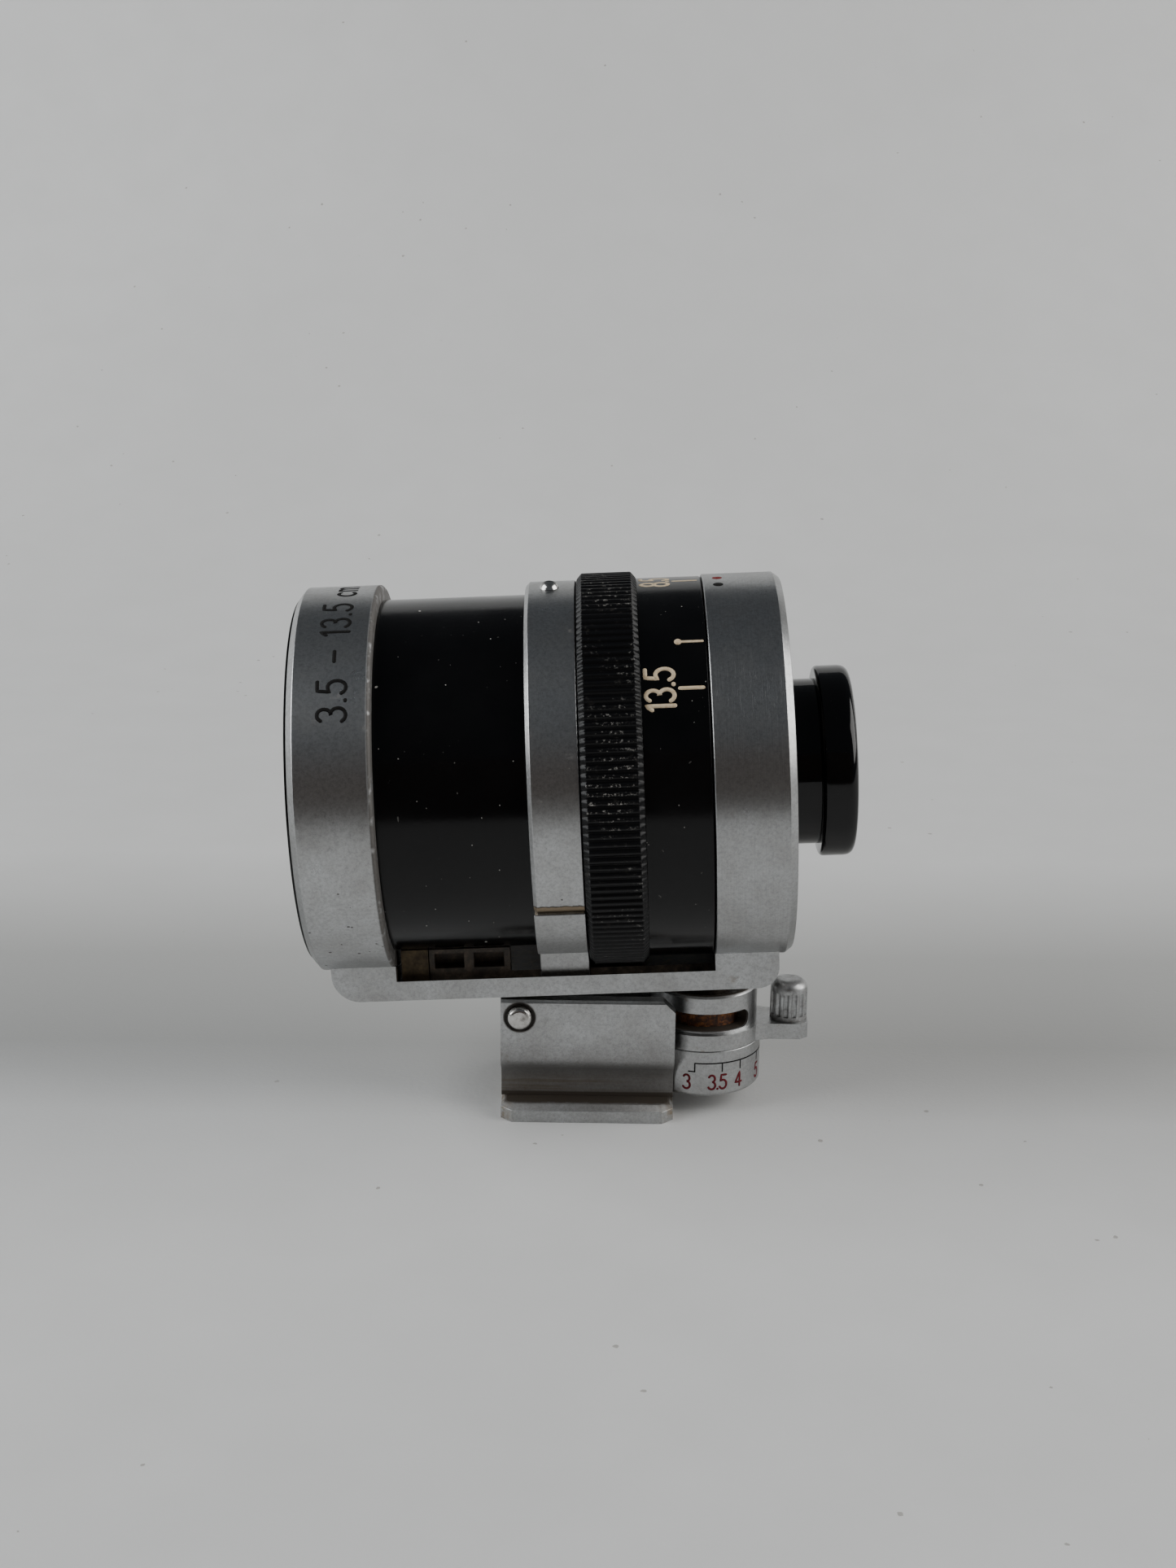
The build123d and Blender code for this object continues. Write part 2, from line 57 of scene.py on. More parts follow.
# ---------------------------------------------------------------------------
# Camera. It stands at the near side of the finder, above the tube, and looks
# down on it; the tube lies almost square to the line of sight.
# ---------------------------------------------------------------------------
SIGHT_HEIGHT = 0.0404
CAMERA_DISTANCE = 0.2616
CAMERA_PITCH = math.radians(16.0)
CAMERA_ROLL = math.radians(0.74)
CAMERA_YAW = math.radians(0.15)
AIM_BELOW_CENTRE = math.radians(0.385)
AIM_X = -0.0004
SENSOR_MM = 36.0
LENS_MM = 51.8

rise = CAMERA_PITCH - AIM_BELOW_CENTRE
forward = Vector((-math.sin(CAMERA_YAW) * math.cos(CAMERA_PITCH),
                  math.cos(CAMERA_YAW) * math.cos(CAMERA_PITCH), -math.sin(CAMERA_PITCH)))
level = forward.cross(Vector((0, 0, 1))).normalized()
upward = level.cross(forward)
right = level * math.cos(CAMERA_ROLL) + upward * math.sin(CAMERA_ROLL)
top = right.cross(forward)
camera_data = bpy.data.cameras.new("bench_camera")
camera_data.sensor_width = SENSOR_MM
camera_data.lens = LENS_MM
camera = bpy.data.objects.new("bench_camera", camera_data)
camera.matrix_world = Matrix((
    (right.x, top.x, -forward.x, AIM_X + CAMERA_DISTANCE * math.sin(CAMERA_YAW)),
    (right.y, top.y, -forward.y, -CAMERA_DISTANCE * math.cos(rise)),
    (right.z, top.z, -forward.z, SIGHT_HEIGHT + CAMERA_DISTANCE * math.sin(rise)),
    (0, 0, 0, 1)))
camera_data.clip_start = 0.01
camera_data.clip_end = 10.0
bpy.context.scene.collection.objects.link(camera)
bpy.context.scene.camera = camera


# ---------------------------------------------------------------------------
# Table: one sheet of pale card that lies flat under the finder and curls up
# behind it. Faintly mottled, with a band of painted shade and a few dark crumbs.
# ---------------------------------------------------------------------------
class Wire:
    """One output socket; arithmetic on it adds the Math node that works it out."""

    def __init__(self, tree, socket):
        self.tree = tree
        self.socket = socket

    def join(self, operation, first, second=None):
        node = self.tree.nodes.new("ShaderNodeMath")
        node.operation = operation
        for slot, value in zip(node.inputs, (first, second)):
            if isinstance(value, Wire):
                self.tree.links.new(value.socket, slot)
            elif value is not None:
                slot.default_value = value
        return Wire(self.tree, node.outputs[0])

    def __add__(self, other):
        return self.join("ADD", self, other)

    __radd__ = __add__

    def __mul__(self, other):
        return self.join("MULTIPLY", self, other)

    __rmul__ = __mul__

    def __sub__(self, other):
        return self.join("SUBTRACT", self, other)

    def __rsub__(self, other):
        return self.join("SUBTRACT", other, self)

    def __gt__(self, other):
        return self.join("GREATER_THAN", self, other)

    def __lt__(self, other):
        return self.join("LESS_THAN", self, other)

    def __pow__(self, other):
        return self.join("POWER", self, other)

    def size(self):
        return self.join("ABSOLUTE", self)

    def clamped(self):
        return self.join("MINIMUM", self.join("MAXIMUM", self, 0.0), 1.0)


class Finish:
    """A material with one Principled shader, built up from wires."""

    def __init__(self, name, **fixed):
        self.material = bpy.data.materials.new(name)
        self.material.use_nodes = True
        self.tree = self.material.node_tree
        self.shader = self.tree.nodes["Principled BSDF"]
        for socket, value in fixed.items():
            self.shader.inputs[socket.replace("_", " ")].default_value = value

    def node(self, kind, sockets=None, out=0, stops=None, **settings):
        """Adds a node: settings and ramp stops first, then its sockets' values or links."""
        node = self.tree.nodes.new("ShaderNode" + kind)
        for key, value in settings.items():
            setattr(node, key, value)
        if stops:
            ramp = node.color_ramp
            while len(ramp.elements) < len(stops):
                ramp.elements.new(0.5)
            for element, (at, colour) in zip(ramp.elements, stops):
                element.position = at
                element.color = colour
        for key, value in (sockets or {}).items():
            if isinstance(value, Wire):
                self.tree.links.new(value.socket, node.inputs[key])
            else:
                node.inputs[key].default_value = value
        return Wire(self.tree, node.outputs[out])

    def place(self, turn=(0, 0, 0), shift=(0, 0, 0), scale=(1000, 1000, 1000)):
        """Object coordinates in millimetres, turned and shifted."""
        point = self.node("TexCoord", out="Object")
        return self.node("Mapping", {"Vector": point, "Rotation": turn, "Location": shift,
                                     "Scale": scale})

    def stretch(self, point, along):
        """The point with its three axes multiplied by along."""
        return self.node("VectorMath", {0: point, 1: along}, operation="MULTIPLY")

    def noise(self, point, scale, detail=2.0, rough=0.5, warp=0.0):
        return self.node("TexNoise", {"Vector": point, "Scale": scale, "Detail": detail,
                                      "Roughness": rough, "Distortion": warp})

    def ramp(self, wire, low, high):
        """0 below low, 1 above high, a straight line between."""
        return self.node("MapRange", {"Value": wire, "From Min": low, "From Max": high})

    def mix(self, amount, first, second):
        """Colour first where amount is 0, second where it is 1."""
        return self.node("Mix", {0: amount, 6: first, 7: second}, out=2, data_type="RGBA")

    def bump(self, height, depth_mm):
        """Normal wire of a relief that is depth_mm deep."""
        return self.node("Bump", {"Height": height, "Strength": 1.0,
                                  "Distance": depth_mm / 1000})

    def feed(self, **wires):
        """Links the wires to the shader's sockets and gives the finished material."""
        for socket, wire in wires.items():
            self.tree.links.new(wire.socket, self.shader.inputs[socket.replace("_", " ")])
        return self.material


def surface(name, x, y, z, wrap_rows=False, wrap_columns=False, caps=False):
    """Quad mesh through a rows x columns grid of points in metres. A wrapped direction joins
    its last line to its first; caps close the first and last rows with one face each."""
    rows, columns = x.shape
    points = np.stack([x, y, z], -1).reshape(-1, 3)
    a, b = np.meshgrid(np.arange(rows - (not wrap_rows)),
                       np.arange(columns - (not wrap_columns)), indexing="ij")
    a2, b2 = (a + 1) % rows, (b + 1) % columns
    quads = np.stack([a * columns + b, a2 * columns + b, a2 * columns + b2, a * columns + b2],
                     -1).reshape(-1, 4)
    p, q, r, s = (points[quads[:, k]] - points.mean(0) for k in range(4))
    volume = (p * np.cross(q, r)).sum() + (p * np.cross(r, s)).sum()
    faces = quads.tolist()
    if caps:
        faces.append(list(range(columns)))
        faces.append(list(range(rows * columns - 1, (rows - 1) * columns - 1, -1)))
    if volume < 0:
        faces = [face[::-1] for face in faces]
    mesh = bpy.data.meshes.new(name)
    mesh.from_pydata(points, [], faces)
    mesh.polygons.foreach_set("use_smooth", np.ones(len(faces), dtype=bool))
    piece = bpy.data.objects.new(name, mesh)
    bpy.context.scene.collection.objects.link(piece)
    return piece


CARD_WIDTH = 1.6
CARD_NEAR = -0.18
CARD_BEND = 0.20
CARD_CURL = 0.25
CARD_RISE = 0.10
FLAT_ROWS, CURL_ROWS, RISE_ROWS, CARD_COLUMNS = 23, 33, 6, 9
CARD_PALE = (0.60, 0.60, 0.595, 1)
CARD_PALER = (0.645, 0.645, 0.64, 1)
CARD_MOTTLE = (0.56, 0.56, 0.55, 1)
CARD_SHADED = (0.40, 0.40, 0.39, 1)
CRUMB_BROWN = (0.2, 0.18, 0.15, 1)

# The flat part, then a quarter circle, then the part that stands up.
curl = np.linspace(0, math.pi / 2, CURL_ROWS)
card_y = np.concatenate([np.linspace(CARD_NEAR, CARD_BEND, FLAT_ROWS + 1)[:-1],
                         CARD_BEND + CARD_CURL * np.sin(curl),
                         np.full(RISE_ROWS, CARD_BEND + CARD_CURL)])
card_z = np.concatenate([np.zeros(FLAT_ROWS), CARD_CURL * (1 - np.cos(curl)),
                         CARD_CURL + np.linspace(0, CARD_RISE, RISE_ROWS + 1)[1:]])
across, along = np.meshgrid(np.linspace(-CARD_WIDTH / 2, CARD_WIDTH / 2, CARD_COLUMNS), card_y)
card = surface("card", across, along, np.repeat(card_z[:, None], CARD_COLUMNS, 1))
paper = Finish("pale_card", Roughness=0.7)
spot = paper.place()
cloud = paper.noise(spot, 0.006, 3.0)
mottle = paper.noise(spot, 0.08, 4.0)
crumb = paper.node("TexVoronoi", {"Vector": spot, "Scale": 0.16}, out="Distance")
crumb_mask = ((crumb + (paper.noise(spot, 1.2, 3.0) - 0.5) * 0.12 < 0.05)
              * (paper.noise(spot, 0.03, 1.0) > 0.54))
tone = paper.mix(paper.ramp(cloud, 0.35, 0.65), CARD_PALE, CARD_PALER)
tone = paper.mix(paper.ramp(mottle, 0.3, 0.75) * 0.35, tone, CARD_MOTTLE)
tone = paper.mix(crumb_mask * 0.6, tone, CRUMB_BROWN)
# A soft band of painted shade runs across the card under and behind the foot.
back_from_foot = paper.node("SeparateXYZ", {0: spot}, out="Y") + (cloud - 0.5) * 14
shade = paper.ramp(back_from_foot, -8.0, 14.0) * (1 - paper.ramp(back_from_foot, 46.0, 92.0))
tone = paper.mix(shade, tone, CARD_SHADED)
card.data.materials.append(paper.feed(
    Base_Color=tone, Normal=paper.bump(paper.noise(spot, 1.5, 3.0), 0.03)))

# ---------------------------------------------------------------------------
# Light: two soft windows, one at each end of the finder and above it, a weak
# room light, and a dark brown screen where the person at the camera stands.
# ---------------------------------------------------------------------------
WINDOWS = {
    "window_left": ((-0.85, -0.12, 0.52), 11.0, (0.97, 0.99, 1.0)),
    "window_right": ((0.85, -0.12, 0.52), 10.0, (1.0, 0.99, 0.97)),
}
PANE = (0.9, 0.8)
LIT_POINT = (0, 0.05, 0.02)
ROOM_COLOUR = (0.80, 0.86, 0.94, 1)
ROOM_STRENGTH = 0.10
for name, (place, power, colour) in WINDOWS.items():
    lamp = bpy.data.lights.new(name, "AREA")
    lamp.shape = "RECTANGLE"
    lamp.size, lamp.size_y = PANE
    lamp.energy = power
    lamp.color = colour
    lamp_object = bpy.data.objects.new(name, lamp)
    lamp_object.location = place
    aim = Vector(LIT_POINT) - Vector(place)
    lamp_object.rotation_euler = aim.to_track_quat("-Z", "Y").to_euler()
    bpy.context.scene.collection.objects.link(lamp_object)
world = bpy.data.worlds.new("room")
world.use_nodes = True
room_light = world.node_tree.nodes["Background"]
room_light.inputs["Color"].default_value = ROOM_COLOUR
room_light.inputs["Strength"].default_value = ROOM_STRENGTH
bpy.context.scene.world = world

SCREEN_HALF = 0.6
SCREEN_SPAN = (-0.6, 0.40)
SCREEN_Y = -0.8
SCREEN_BROWN = (0.075, 0.058, 0.050, 1)
SCREEN_FADED = (0.095, 0.076, 0.066, 1)
screen_x, screen_z = np.meshgrid((-SCREEN_HALF, SCREEN_HALF), SCREEN_SPAN)
screen = surface("dark_screen", screen_x, np.full_like(screen_x, SCREEN_Y), screen_z)
cloth = Finish("screen_cloth", Roughness=0.9)
weave = cloth.noise(cloth.place(), 0.4, 2.0)
screen.data.materials.append(cloth.feed(
    Base_Color=cloth.mix(weave, SCREEN_BROWN, SCREEN_FADED)))
screen.visible_camera = False

# ---------------------------------------------------------------------------
# Foot: a bevelled plate screwed under a bracket with coved sides, all satin
# chrome on brass. Plated edges are worn to a yellow brown at the corners. Shade is
# painted on at the foot of the neck, under the sweep of the sides and on the plate's top.
# ---------------------------------------------------------------------------
MM = 0.001
CHROME_LIGHT = (0.49, 0.50, 0.505, 1)
CHROME_DULL = (0.39, 0.39, 0.385, 1)
BARE_BRASS = (0.24, 0.18, 0.11, 1)
TAN_DIRT = (0.20, 0.145, 0.085, 1)
# Dark grime, also used as painted shade on the foot's neck and sweep, the plate's top and inside
# the lever collar.
DARK_GRIME_AND_SHADE = (0.035, 0.026, 0.018, 1)
GRAIN_GREY = (0.24, 0.24, 0.24, 1)
BRUSHED_GREY = (0.26, 0.265, 0.27, 1)
NICK_BROWN = (0.08, 0.07, 0.06, 1)
LEAN = math.radians(3.0)
# Where the foot is worn, where it is dirty and where shade is painted on it, in millimetres:
# each pair is a soft edge, from the first distance to the second.
CORNER_RUB = (8.4, 9.9)
BEVEL_LINE = (1.42, 1.52)
PLATE_TOP = (1.75, 2.08)
BESIDE_NECK = (7.6, 8.8)
NECK_FOOT = (2.15, 2.75)
RAIL_RUB_LOW, RAIL_RUB_HIGH = (2.3, 3.0), (4.0, 5.2)
SHADE_UNDER_SWEEP, NECK_SHADE = (5.0, 11.5), (6.0, 7.6)
PIN_X, PIN_Z = -7.9, 13.0
PIN_RING = (1.80, 1.98)
PIN_FACE_Y = 8.0


def eased_copy(node, name, width_mm, body):
    """A merged copy of a CAD node with its edges rounded over by width_mm; it rides on body
    and stands in for the node."""
    mesh = frame["nodes"][node].data.copy()
    mesh.name = name
    work = bmesh.new()
    work.from_mesh(mesh)
    bmesh.ops.remove_doubles(work, verts=work.verts, dist=2e-6)
    bmesh.ops.dissolve_limit(work, angle_limit=math.radians(0.6), verts=work.verts,
                             edges=work.edges)
    work.to_mesh(mesh)
    work.free()
    if mesh.has_custom_normals:
        mesh.attributes.remove(mesh.attributes["custom_normal"])
    mesh.materials.clear()
    mesh.polygons.foreach_set("use_smooth", np.ones(len(mesh.polygons), dtype=bool))
    piece = bpy.data.objects.new(name, mesh)
    bpy.context.scene.collection.objects.link(piece)
    bevel = piece.modifiers.new("edges", "BEVEL")
    bevel.width = width_mm * MM
    bevel.segments = 2
    bevel.limit_method = "ANGLE"
    bevel.angle_limit = math.radians(32)
    bevel.harden_normals = True
    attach(piece, body)
    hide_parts(node)
    return piece


def satin_chrome(name, grime=0.25, finder=False, brushed=0.0, grime_and_shade=None, bare=None):
    """Satin chrome plate: fine matt grain, cloudy tarnish, tan dirt in soft patches. The two
    mask arguments take the finish and its x, y, z wires and give masks of darkening, which is dark
    grime in some places and painted shade in others, and of bare brass."""
    chrome = Finish(name, Metallic=1.0)
    spot = on_finder(chrome) if finder else chrome.place()
    cloud = chrome.noise(spot, 0.22, 4.0, 0.6)
    grain = chrome.noise(spot, 2.6, 5.0, 0.85)
    nick = chrome.node("TexVoronoi", {"Vector": spot, "Scale": 0.9}, out="Distance")
    nicks = (nick < 0.045) * (chrome.noise(spot, 0.35, 1.0) > 0.56)
    dirt = chrome.ramp(chrome.noise(spot, 0.5, 5.0, 0.7), 0.62, 0.74) * grime
    streak = chrome.noise(chrome.stretch(spot, (9.0, 0.05, 0.05)), 1.0, 3.0, 0.7)
    colour = chrome.mix(chrome.ramp(cloud, 0.3, 0.7), CHROME_LIGHT, CHROME_DULL)
    colour = chrome.mix(chrome.ramp(grain, 0.42, 0.68) * 0.7, colour, GRAIN_GREY)
    colour = chrome.mix(chrome.ramp(streak, 0.35, 0.7) * brushed * 0.45, colour, BRUSHED_GREY)
    colour = chrome.mix(dirt, colour, TAN_DIRT)
    colour = chrome.mix(nicks * 0.6, colour, NICK_BROWN)
    rough = 0.27 + chrome.ramp(cloud, 0.3, 0.8) * 0.07 + dirt * 0.35 + nicks * 0.2
    metal = 1 - dirt * 0.7
    x, y, z = (chrome.node("SeparateXYZ", {0: spot}, out=k) for k in range(3))
    if bare:
        worn_through = bare(chrome, spot, x, y, z).clamped()
        colour = chrome.mix(worn_through, colour, BARE_BRASS)
        rough = rough + worn_through * 0.15
    # Darkening mask: dark grime in some places, painted shade in others.
    if grime_and_shade:
        grime_and_shade_amount = grime_and_shade(chrome, spot, x, y, z).clamped()
        colour = chrome.mix(grime_and_shade_amount, colour, DARK_GRIME_AND_SHADE)
        rough = rough + grime_and_shade_amount * 0.4
        metal = metal * (1 - grime_and_shade_amount)
    height = grain * (1 - brushed) + streak * (brushed * 1.5) - nicks * 0.8
    return chrome.feed(Base_Color=colour, Roughness=rough, Metallic=metal,
                       Normal=chrome.bump(height, 0.018))


def on_finder(finish):
    """Coordinates in the finder's own frame, millimetres: x along the sight axis, which
    leans back by LEAN and passes SIGHT_HEIGHT above the foot's underside."""
    height = SIGHT_HEIGHT / MM
    return finish.place(turn=(0, LEAN, 0),
                        shift=(-height * math.sin(LEAN), 0, -height * math.cos(LEAN)))


def distance(a, b):
    """Length of the two wires as the sides of a right angle."""
    return (a * a + b * b) ** 0.5


def plate_corners(finish, spot, x, y, z):
    """Bare brass in ragged rubs towards the two ends of the plate."""
    rub = finish.ramp(finish.noise(spot, 0.9, 4.0, 0.7), 0.42, 0.60)
    return rub * finish.ramp(x.size(), *CORNER_RUB) * 0.8


def plate_seam(finish, spot, x, y, z):
    """Darker mottling on the plate's bevel, and painted shade on its top against the bracket's
    neck.
    """
    patchy = 0.55 + finish.noise(spot, 0.7, 4.0, 0.7) * 0.6
    bevel = finish.ramp(z, *BEVEL_LINE) * 0.6
    # Painted shade on the plate's top beside the bracket's neck.
    top = finish.ramp(z, *PLATE_TOP) * (1 - finish.ramp(y.size(), *BESIDE_NECK))
    return (top + bevel) * patchy


def neck_rub(finish, spot, x, y, z):
    """Brass showing in thin lines along the neck, where shoe rails have rubbed."""
    lines = finish.noise(finish.stretch(spot, (0.06, 1.0, 2.4)), 1.0, 4.0, 0.7)
    return (finish.ramp(z, *RAIL_RUB_LOW) * (1 - finish.ramp(z, *RAIL_RUB_HIGH))
            * finish.ramp(lines, 0.42, 0.60) * 0.55)


def bracket_grime_and_shade(finish, spot, x, y, z):
    """Grime in the ring round the pin's head, grime and painted shade at the foot of the neck,
    painted shade under the sweep.
    """
    from_pin = distance(x - PIN_X, z - PIN_Z)
    ring = (1 - finish.ramp(from_pin, *PIN_RING)) * (y.size() > PIN_FACE_Y)
    # Painted shade: darker going down under the sweep of the sides, darker still towards the neck.
    sweep_shade = (1 - finish.ramp(z, *SHADE_UNDER_SWEEP)) * 0.50 + (1 - finish.ramp(z, *NECK_SHADE)) * 0.2
    # At the foot of the neck: grime and painted shade together.
    return ring * 0.9 + (1 - finish.ramp(z, *NECK_FOOT)) * 0.85 + sweep_shade


plate = eased_copy("shoe_foot_plate", "foot_plate", 0.12, "foot")
plate.data.materials.append(satin_chrome(
    "foot_plate_chrome", grime=0.5, grime_and_shade=plate_seam, bare=plate_corners))

bracket = eased_copy("foot_bracket", "foot_bracket_casting", 0.12, "foot")
bracket.data.materials.append(satin_chrome(
    "bracket_chrome", grime=0.3, grime_and_shade=bracket_grime_and_shade, bare=neck_rub))

# ---------------------------------------------------------------------------
# Small turned steel: the pivot pin with its domed heads, screws, leaf spring and
# drive pins, bright with brown stains. The retaining ring and the plunger that
# lifts the finder are dark brown to black, in cloudy patches.
# ---------------------------------------------------------------------------
STEEL_BRIGHT = (0.66, 0.65, 0.63, 1)
STEEL_GREY = (0.45, 0.44, 0.42, 1)
STEEL_STAIN = (0.12, 0.10, 0.08, 1)
DARK_STEEL_BROWN = (0.060, 0.050, 0.040, 1)
DARK_STEEL_BLACK = (0.014, 0.010, 0.007, 1)
steel = Finish("turned_steel", Metallic=1.0)
spot = steel.place()
swirl = steel.noise(spot, 2.2, 4.0, 0.6)
stain = steel.ramp(steel.noise(spot, 0.8, 3.0), 0.55, 0.7)
tone = steel.mix(steel.ramp(swirl, 0.3, 0.7), STEEL_BRIGHT, STEEL_GREY)
steel.feed(Base_Color=steel.mix(stain * 0.5, tone, STEEL_STAIN),
           Roughness=0.18 + stain * 0.3, Normal=steel.bump(swirl, 0.01))
STEEL_NODES = ("foot_screws", "pivot_pin", "leaf_spring", "spring_screw", "cradle_screws",
               "collar_screws", "drive_screws", "front_follower_pin", "rear_follower_pin")


def finish_node(node, material):
    """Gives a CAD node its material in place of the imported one."""
    mesh = frame["nodes"][node].data
    mesh.materials.clear()
    mesh.materials.append(material)


for node in STEEL_NODES:
    finish_node(node, steel.material)

dark_steel = Finish("darkened_steel", Metallic=0.8)
spot = dark_steel.place()
cloudiness = dark_steel.ramp(dark_steel.noise(spot, 0.9, 4.0, 0.7), 0.35, 0.65)
dark_steel.feed(Base_Color=dark_steel.mix(cloudiness, DARK_STEEL_BROWN, DARK_STEEL_BLACK),
          Roughness=0.35 + cloudiness * 0.3, Normal=dark_steel.bump(cloudiness, 0.03))
for node in ("collar_retaining_ring", "lift_plunger"):
    finish_node(node, dark_steel.material)

# ---------------------------------------------------------------------------
# Parallax dial: a fixed drum with a cut scale, a lever collar that turns on a
# spindle above it, and a fluted post to push. Rust shows through the slot.
# ---------------------------------------------------------------------------
DIAL_X = 13.7
DRUM_R = 6.9
COLLAR_WALL = (6.1, 6.3)
POST_FOOT = (10.1, 10.9)


def shade_inside_collar(finish, spot, x, y, z):
    """Painted shade inside the lever collar, behind the wall that its slot is cut through."""
    return 1 - finish.ramp(distance(x - DIAL_X, y), *COLLAR_WALL)


def post_grime(finish, spot, x, y, z):
    """Dirt in soft patches on the grip post, and all round its foot."""
    patches = finish.ramp(finish.noise(spot, 0.8, 4.0, 0.7), 0.4, 0.7)
    return patches * 0.5 + (1 - finish.ramp(z, *POST_FOOT)) * 0.5


drum = eased_copy("parallax_drum", "scale_drum", 0.12, "foot")
drum.data.materials.append(satin_chrome("drum_chrome", grime=0.2))
collar = eased_copy("lever_collar", "lever", 0.1, "lever")
collar.data.materials.append(satin_chrome("lever_chrome", grime=0.8, grime_and_shade=shade_inside_collar))
finish_node("lever_grip_post", satin_chrome("post_chrome", grime=0.8, grime_and_shade=post_grime))

rust = Finish("rusty_spindle", Roughness=0.7)
spot = rust.place()
flake = rust.noise(spot, 1.1, 5.0, 0.7, 0.4)
tone = rust.node("ValToRGB", {0: flake}, stops=[
    (0.30, (0.012, 0.006, 0.004, 1)), (0.47, (0.06, 0.02, 0.008, 1)),
    (0.60, (0.24, 0.085, 0.02, 1)), (0.75, (0.42, 0.22, 0.08, 1))])
rust.feed(Base_Color=tone, Roughness=0.45 + flake * 0.5, Normal=rust.bump(flake, 0.15))
finish_node("drum_spindle", rust.material)


def arc(cx, cy, rx, ry, start, end, steps=14):
    """Points of an ellipse arc about (cx, cy) from angle start to end, in degrees."""
    a = np.radians(np.linspace(start, end, steps))
    return np.stack([cx + rx * np.cos(a), cy + ry * np.sin(a)], -1)


def line(*points):
    return np.array(points, dtype=float)


def joined(*runs):
    return np.concatenate(runs)


# Engraver's figures, one unit high: the strokes of each sign and its width.
SIGNS = {
    "0": ([arc(0.29, 0.5, 0.29, 0.5, 90, 450, 33)], 0.58),
    "1": ([line((0.02, 0.80), (0.20, 1.0), (0.20, 0.0))], 0.22),
    "3": ([joined(arc(0.27, 0.75, 0.25, 0.25, 150, -80), arc(0.27, 0.27, 0.29, 0.27, 85, -150))],
          0.57),
    "4": ([line((0.42, 0.0), (0.42, 1.0), (0.0, 0.28), (0.60, 0.28))], 0.60),
    "5": ([joined(line((0.52, 1.0), (0.12, 1.0), (0.07, 0.56)),
                  arc(0.26, 0.32, 0.30, 0.32, 118, -150))], 0.57),
    "7": ([line((0.0, 1.0), (0.56, 1.0), (0.18, 0.0))], 0.56),
    "8": ([arc(0.29, 0.75, 0.23, 0.25, -90, 270, 29), arc(0.29, 0.26, 0.29, 0.26, 90, 450, 29)],
          0.58),
    "~": ([joined(arc(0.25, 0.5, 0.25, 0.26, 45, 315, 22), arc(0.85, 0.5, 0.25, 0.26, 225, 495, 22),
                  line((0.43, 0.68)))], 1.10),
    ".": ([line((0.02, 0.02), (0.05, 0.02))], 0.07),
    "-": ([line((0.0, 0.45), (0.5, 0.45))], 0.5),
    "c": ([arc(0.27, 0.30, 0.27, 0.30, 50, 310, 22)], 0.48),
    "m": ([line((0.0, 0.0), (0.0, 0.60)),
           joined(arc(0.19, 0.40, 0.19, 0.20, 180, 0), line((0.38, 0.0))),
           joined(arc(0.57, 0.40, 0.19, 0.20, 180, 0), line((0.76, 0.0)))], 0.76),
    " ": ([], 0.35),
}


def inscription(text, height, gap, narrow):
    """Strokes of a text, centred on zero across and starting at zero up. gap is the space
    after a sign as a part of its height, narrow squeezes every sign across."""
    strokes, pen = [], 0.0
    for sign in text:
        shapes, width = SIGNS[sign]
        strokes += [shape * (height * narrow, height) + (pen * height, 0) for shape in shapes]
        pen += width * narrow + gap
    half = (pen - gap) * height / 2
    return [stroke - (half, 0) for stroke in strokes]


PROUD = 0.012
BURIED = 0.04
STACK_STEP = 0.0006
CAP_STEPS = 6


def slab(stroke, width, order):
    """A stroke as a closed bar: its half width follows a half circle at both ends and is
    constant between, its section is a rectangle that stands PROUD of the surface, each
    stroke in order a STACK_STEP higher so that no two faces lie in one plane.
    Returns rows of (across, up, height) points, four to a row."""
    step = np.hypot(*np.diff(stroke, axis=0).T)
    stroke = stroke[np.append(True, step > 1e-6)]
    tangent = np.gradient(stroke, axis=0)
    tangent /= np.hypot(*tangent.T)[:, None]
    cap = np.sin(np.linspace(0, math.pi / 2, CAP_STEPS)) * width / 2 * 0.999
    head = stroke[0] - tangent[0] * cap[::-1, None]
    tail = stroke[-1] + tangent[-1] * cap[:, None]
    half_cap = np.sqrt((width / 2) ** 2 - cap ** 2)
    path = np.concatenate([head[:-1], stroke, tail[1:]])
    half = np.concatenate([half_cap[::-1][:-1], np.full(len(stroke), width / 2), half_cap[1:]])
    way = np.concatenate([np.repeat(tangent[:1], CAP_STEPS - 1, 0), tangent,
                          np.repeat(tangent[-1:], CAP_STEPS - 1, 0)])
    side = np.stack([-way[:, 1], way[:, 0]], -1) * half[:, None]
    low = np.full(len(path), -BURIED)
    high = np.full(len(path), PROUD + order * STACK_STEP)
    one_edge, other_edge = path + side, path - side
    return np.stack([
        np.column_stack([one_edge, low]), np.column_stack([one_edge, high]),
        np.column_stack([other_edge, high]), np.column_stack([other_edge, low])], 1)


def refine(stroke, reach=0.25):
    """The stroke with points added so that none are further apart than reach."""
    runs = [np.linspace(a, b, max(2, int(np.ceil(np.hypot(*(b - a)) / reach)) + 1))[:-1]
            for a, b in zip(stroke[:-1], stroke[1:])]
    return np.concatenate(runs + [stroke[-1:]])


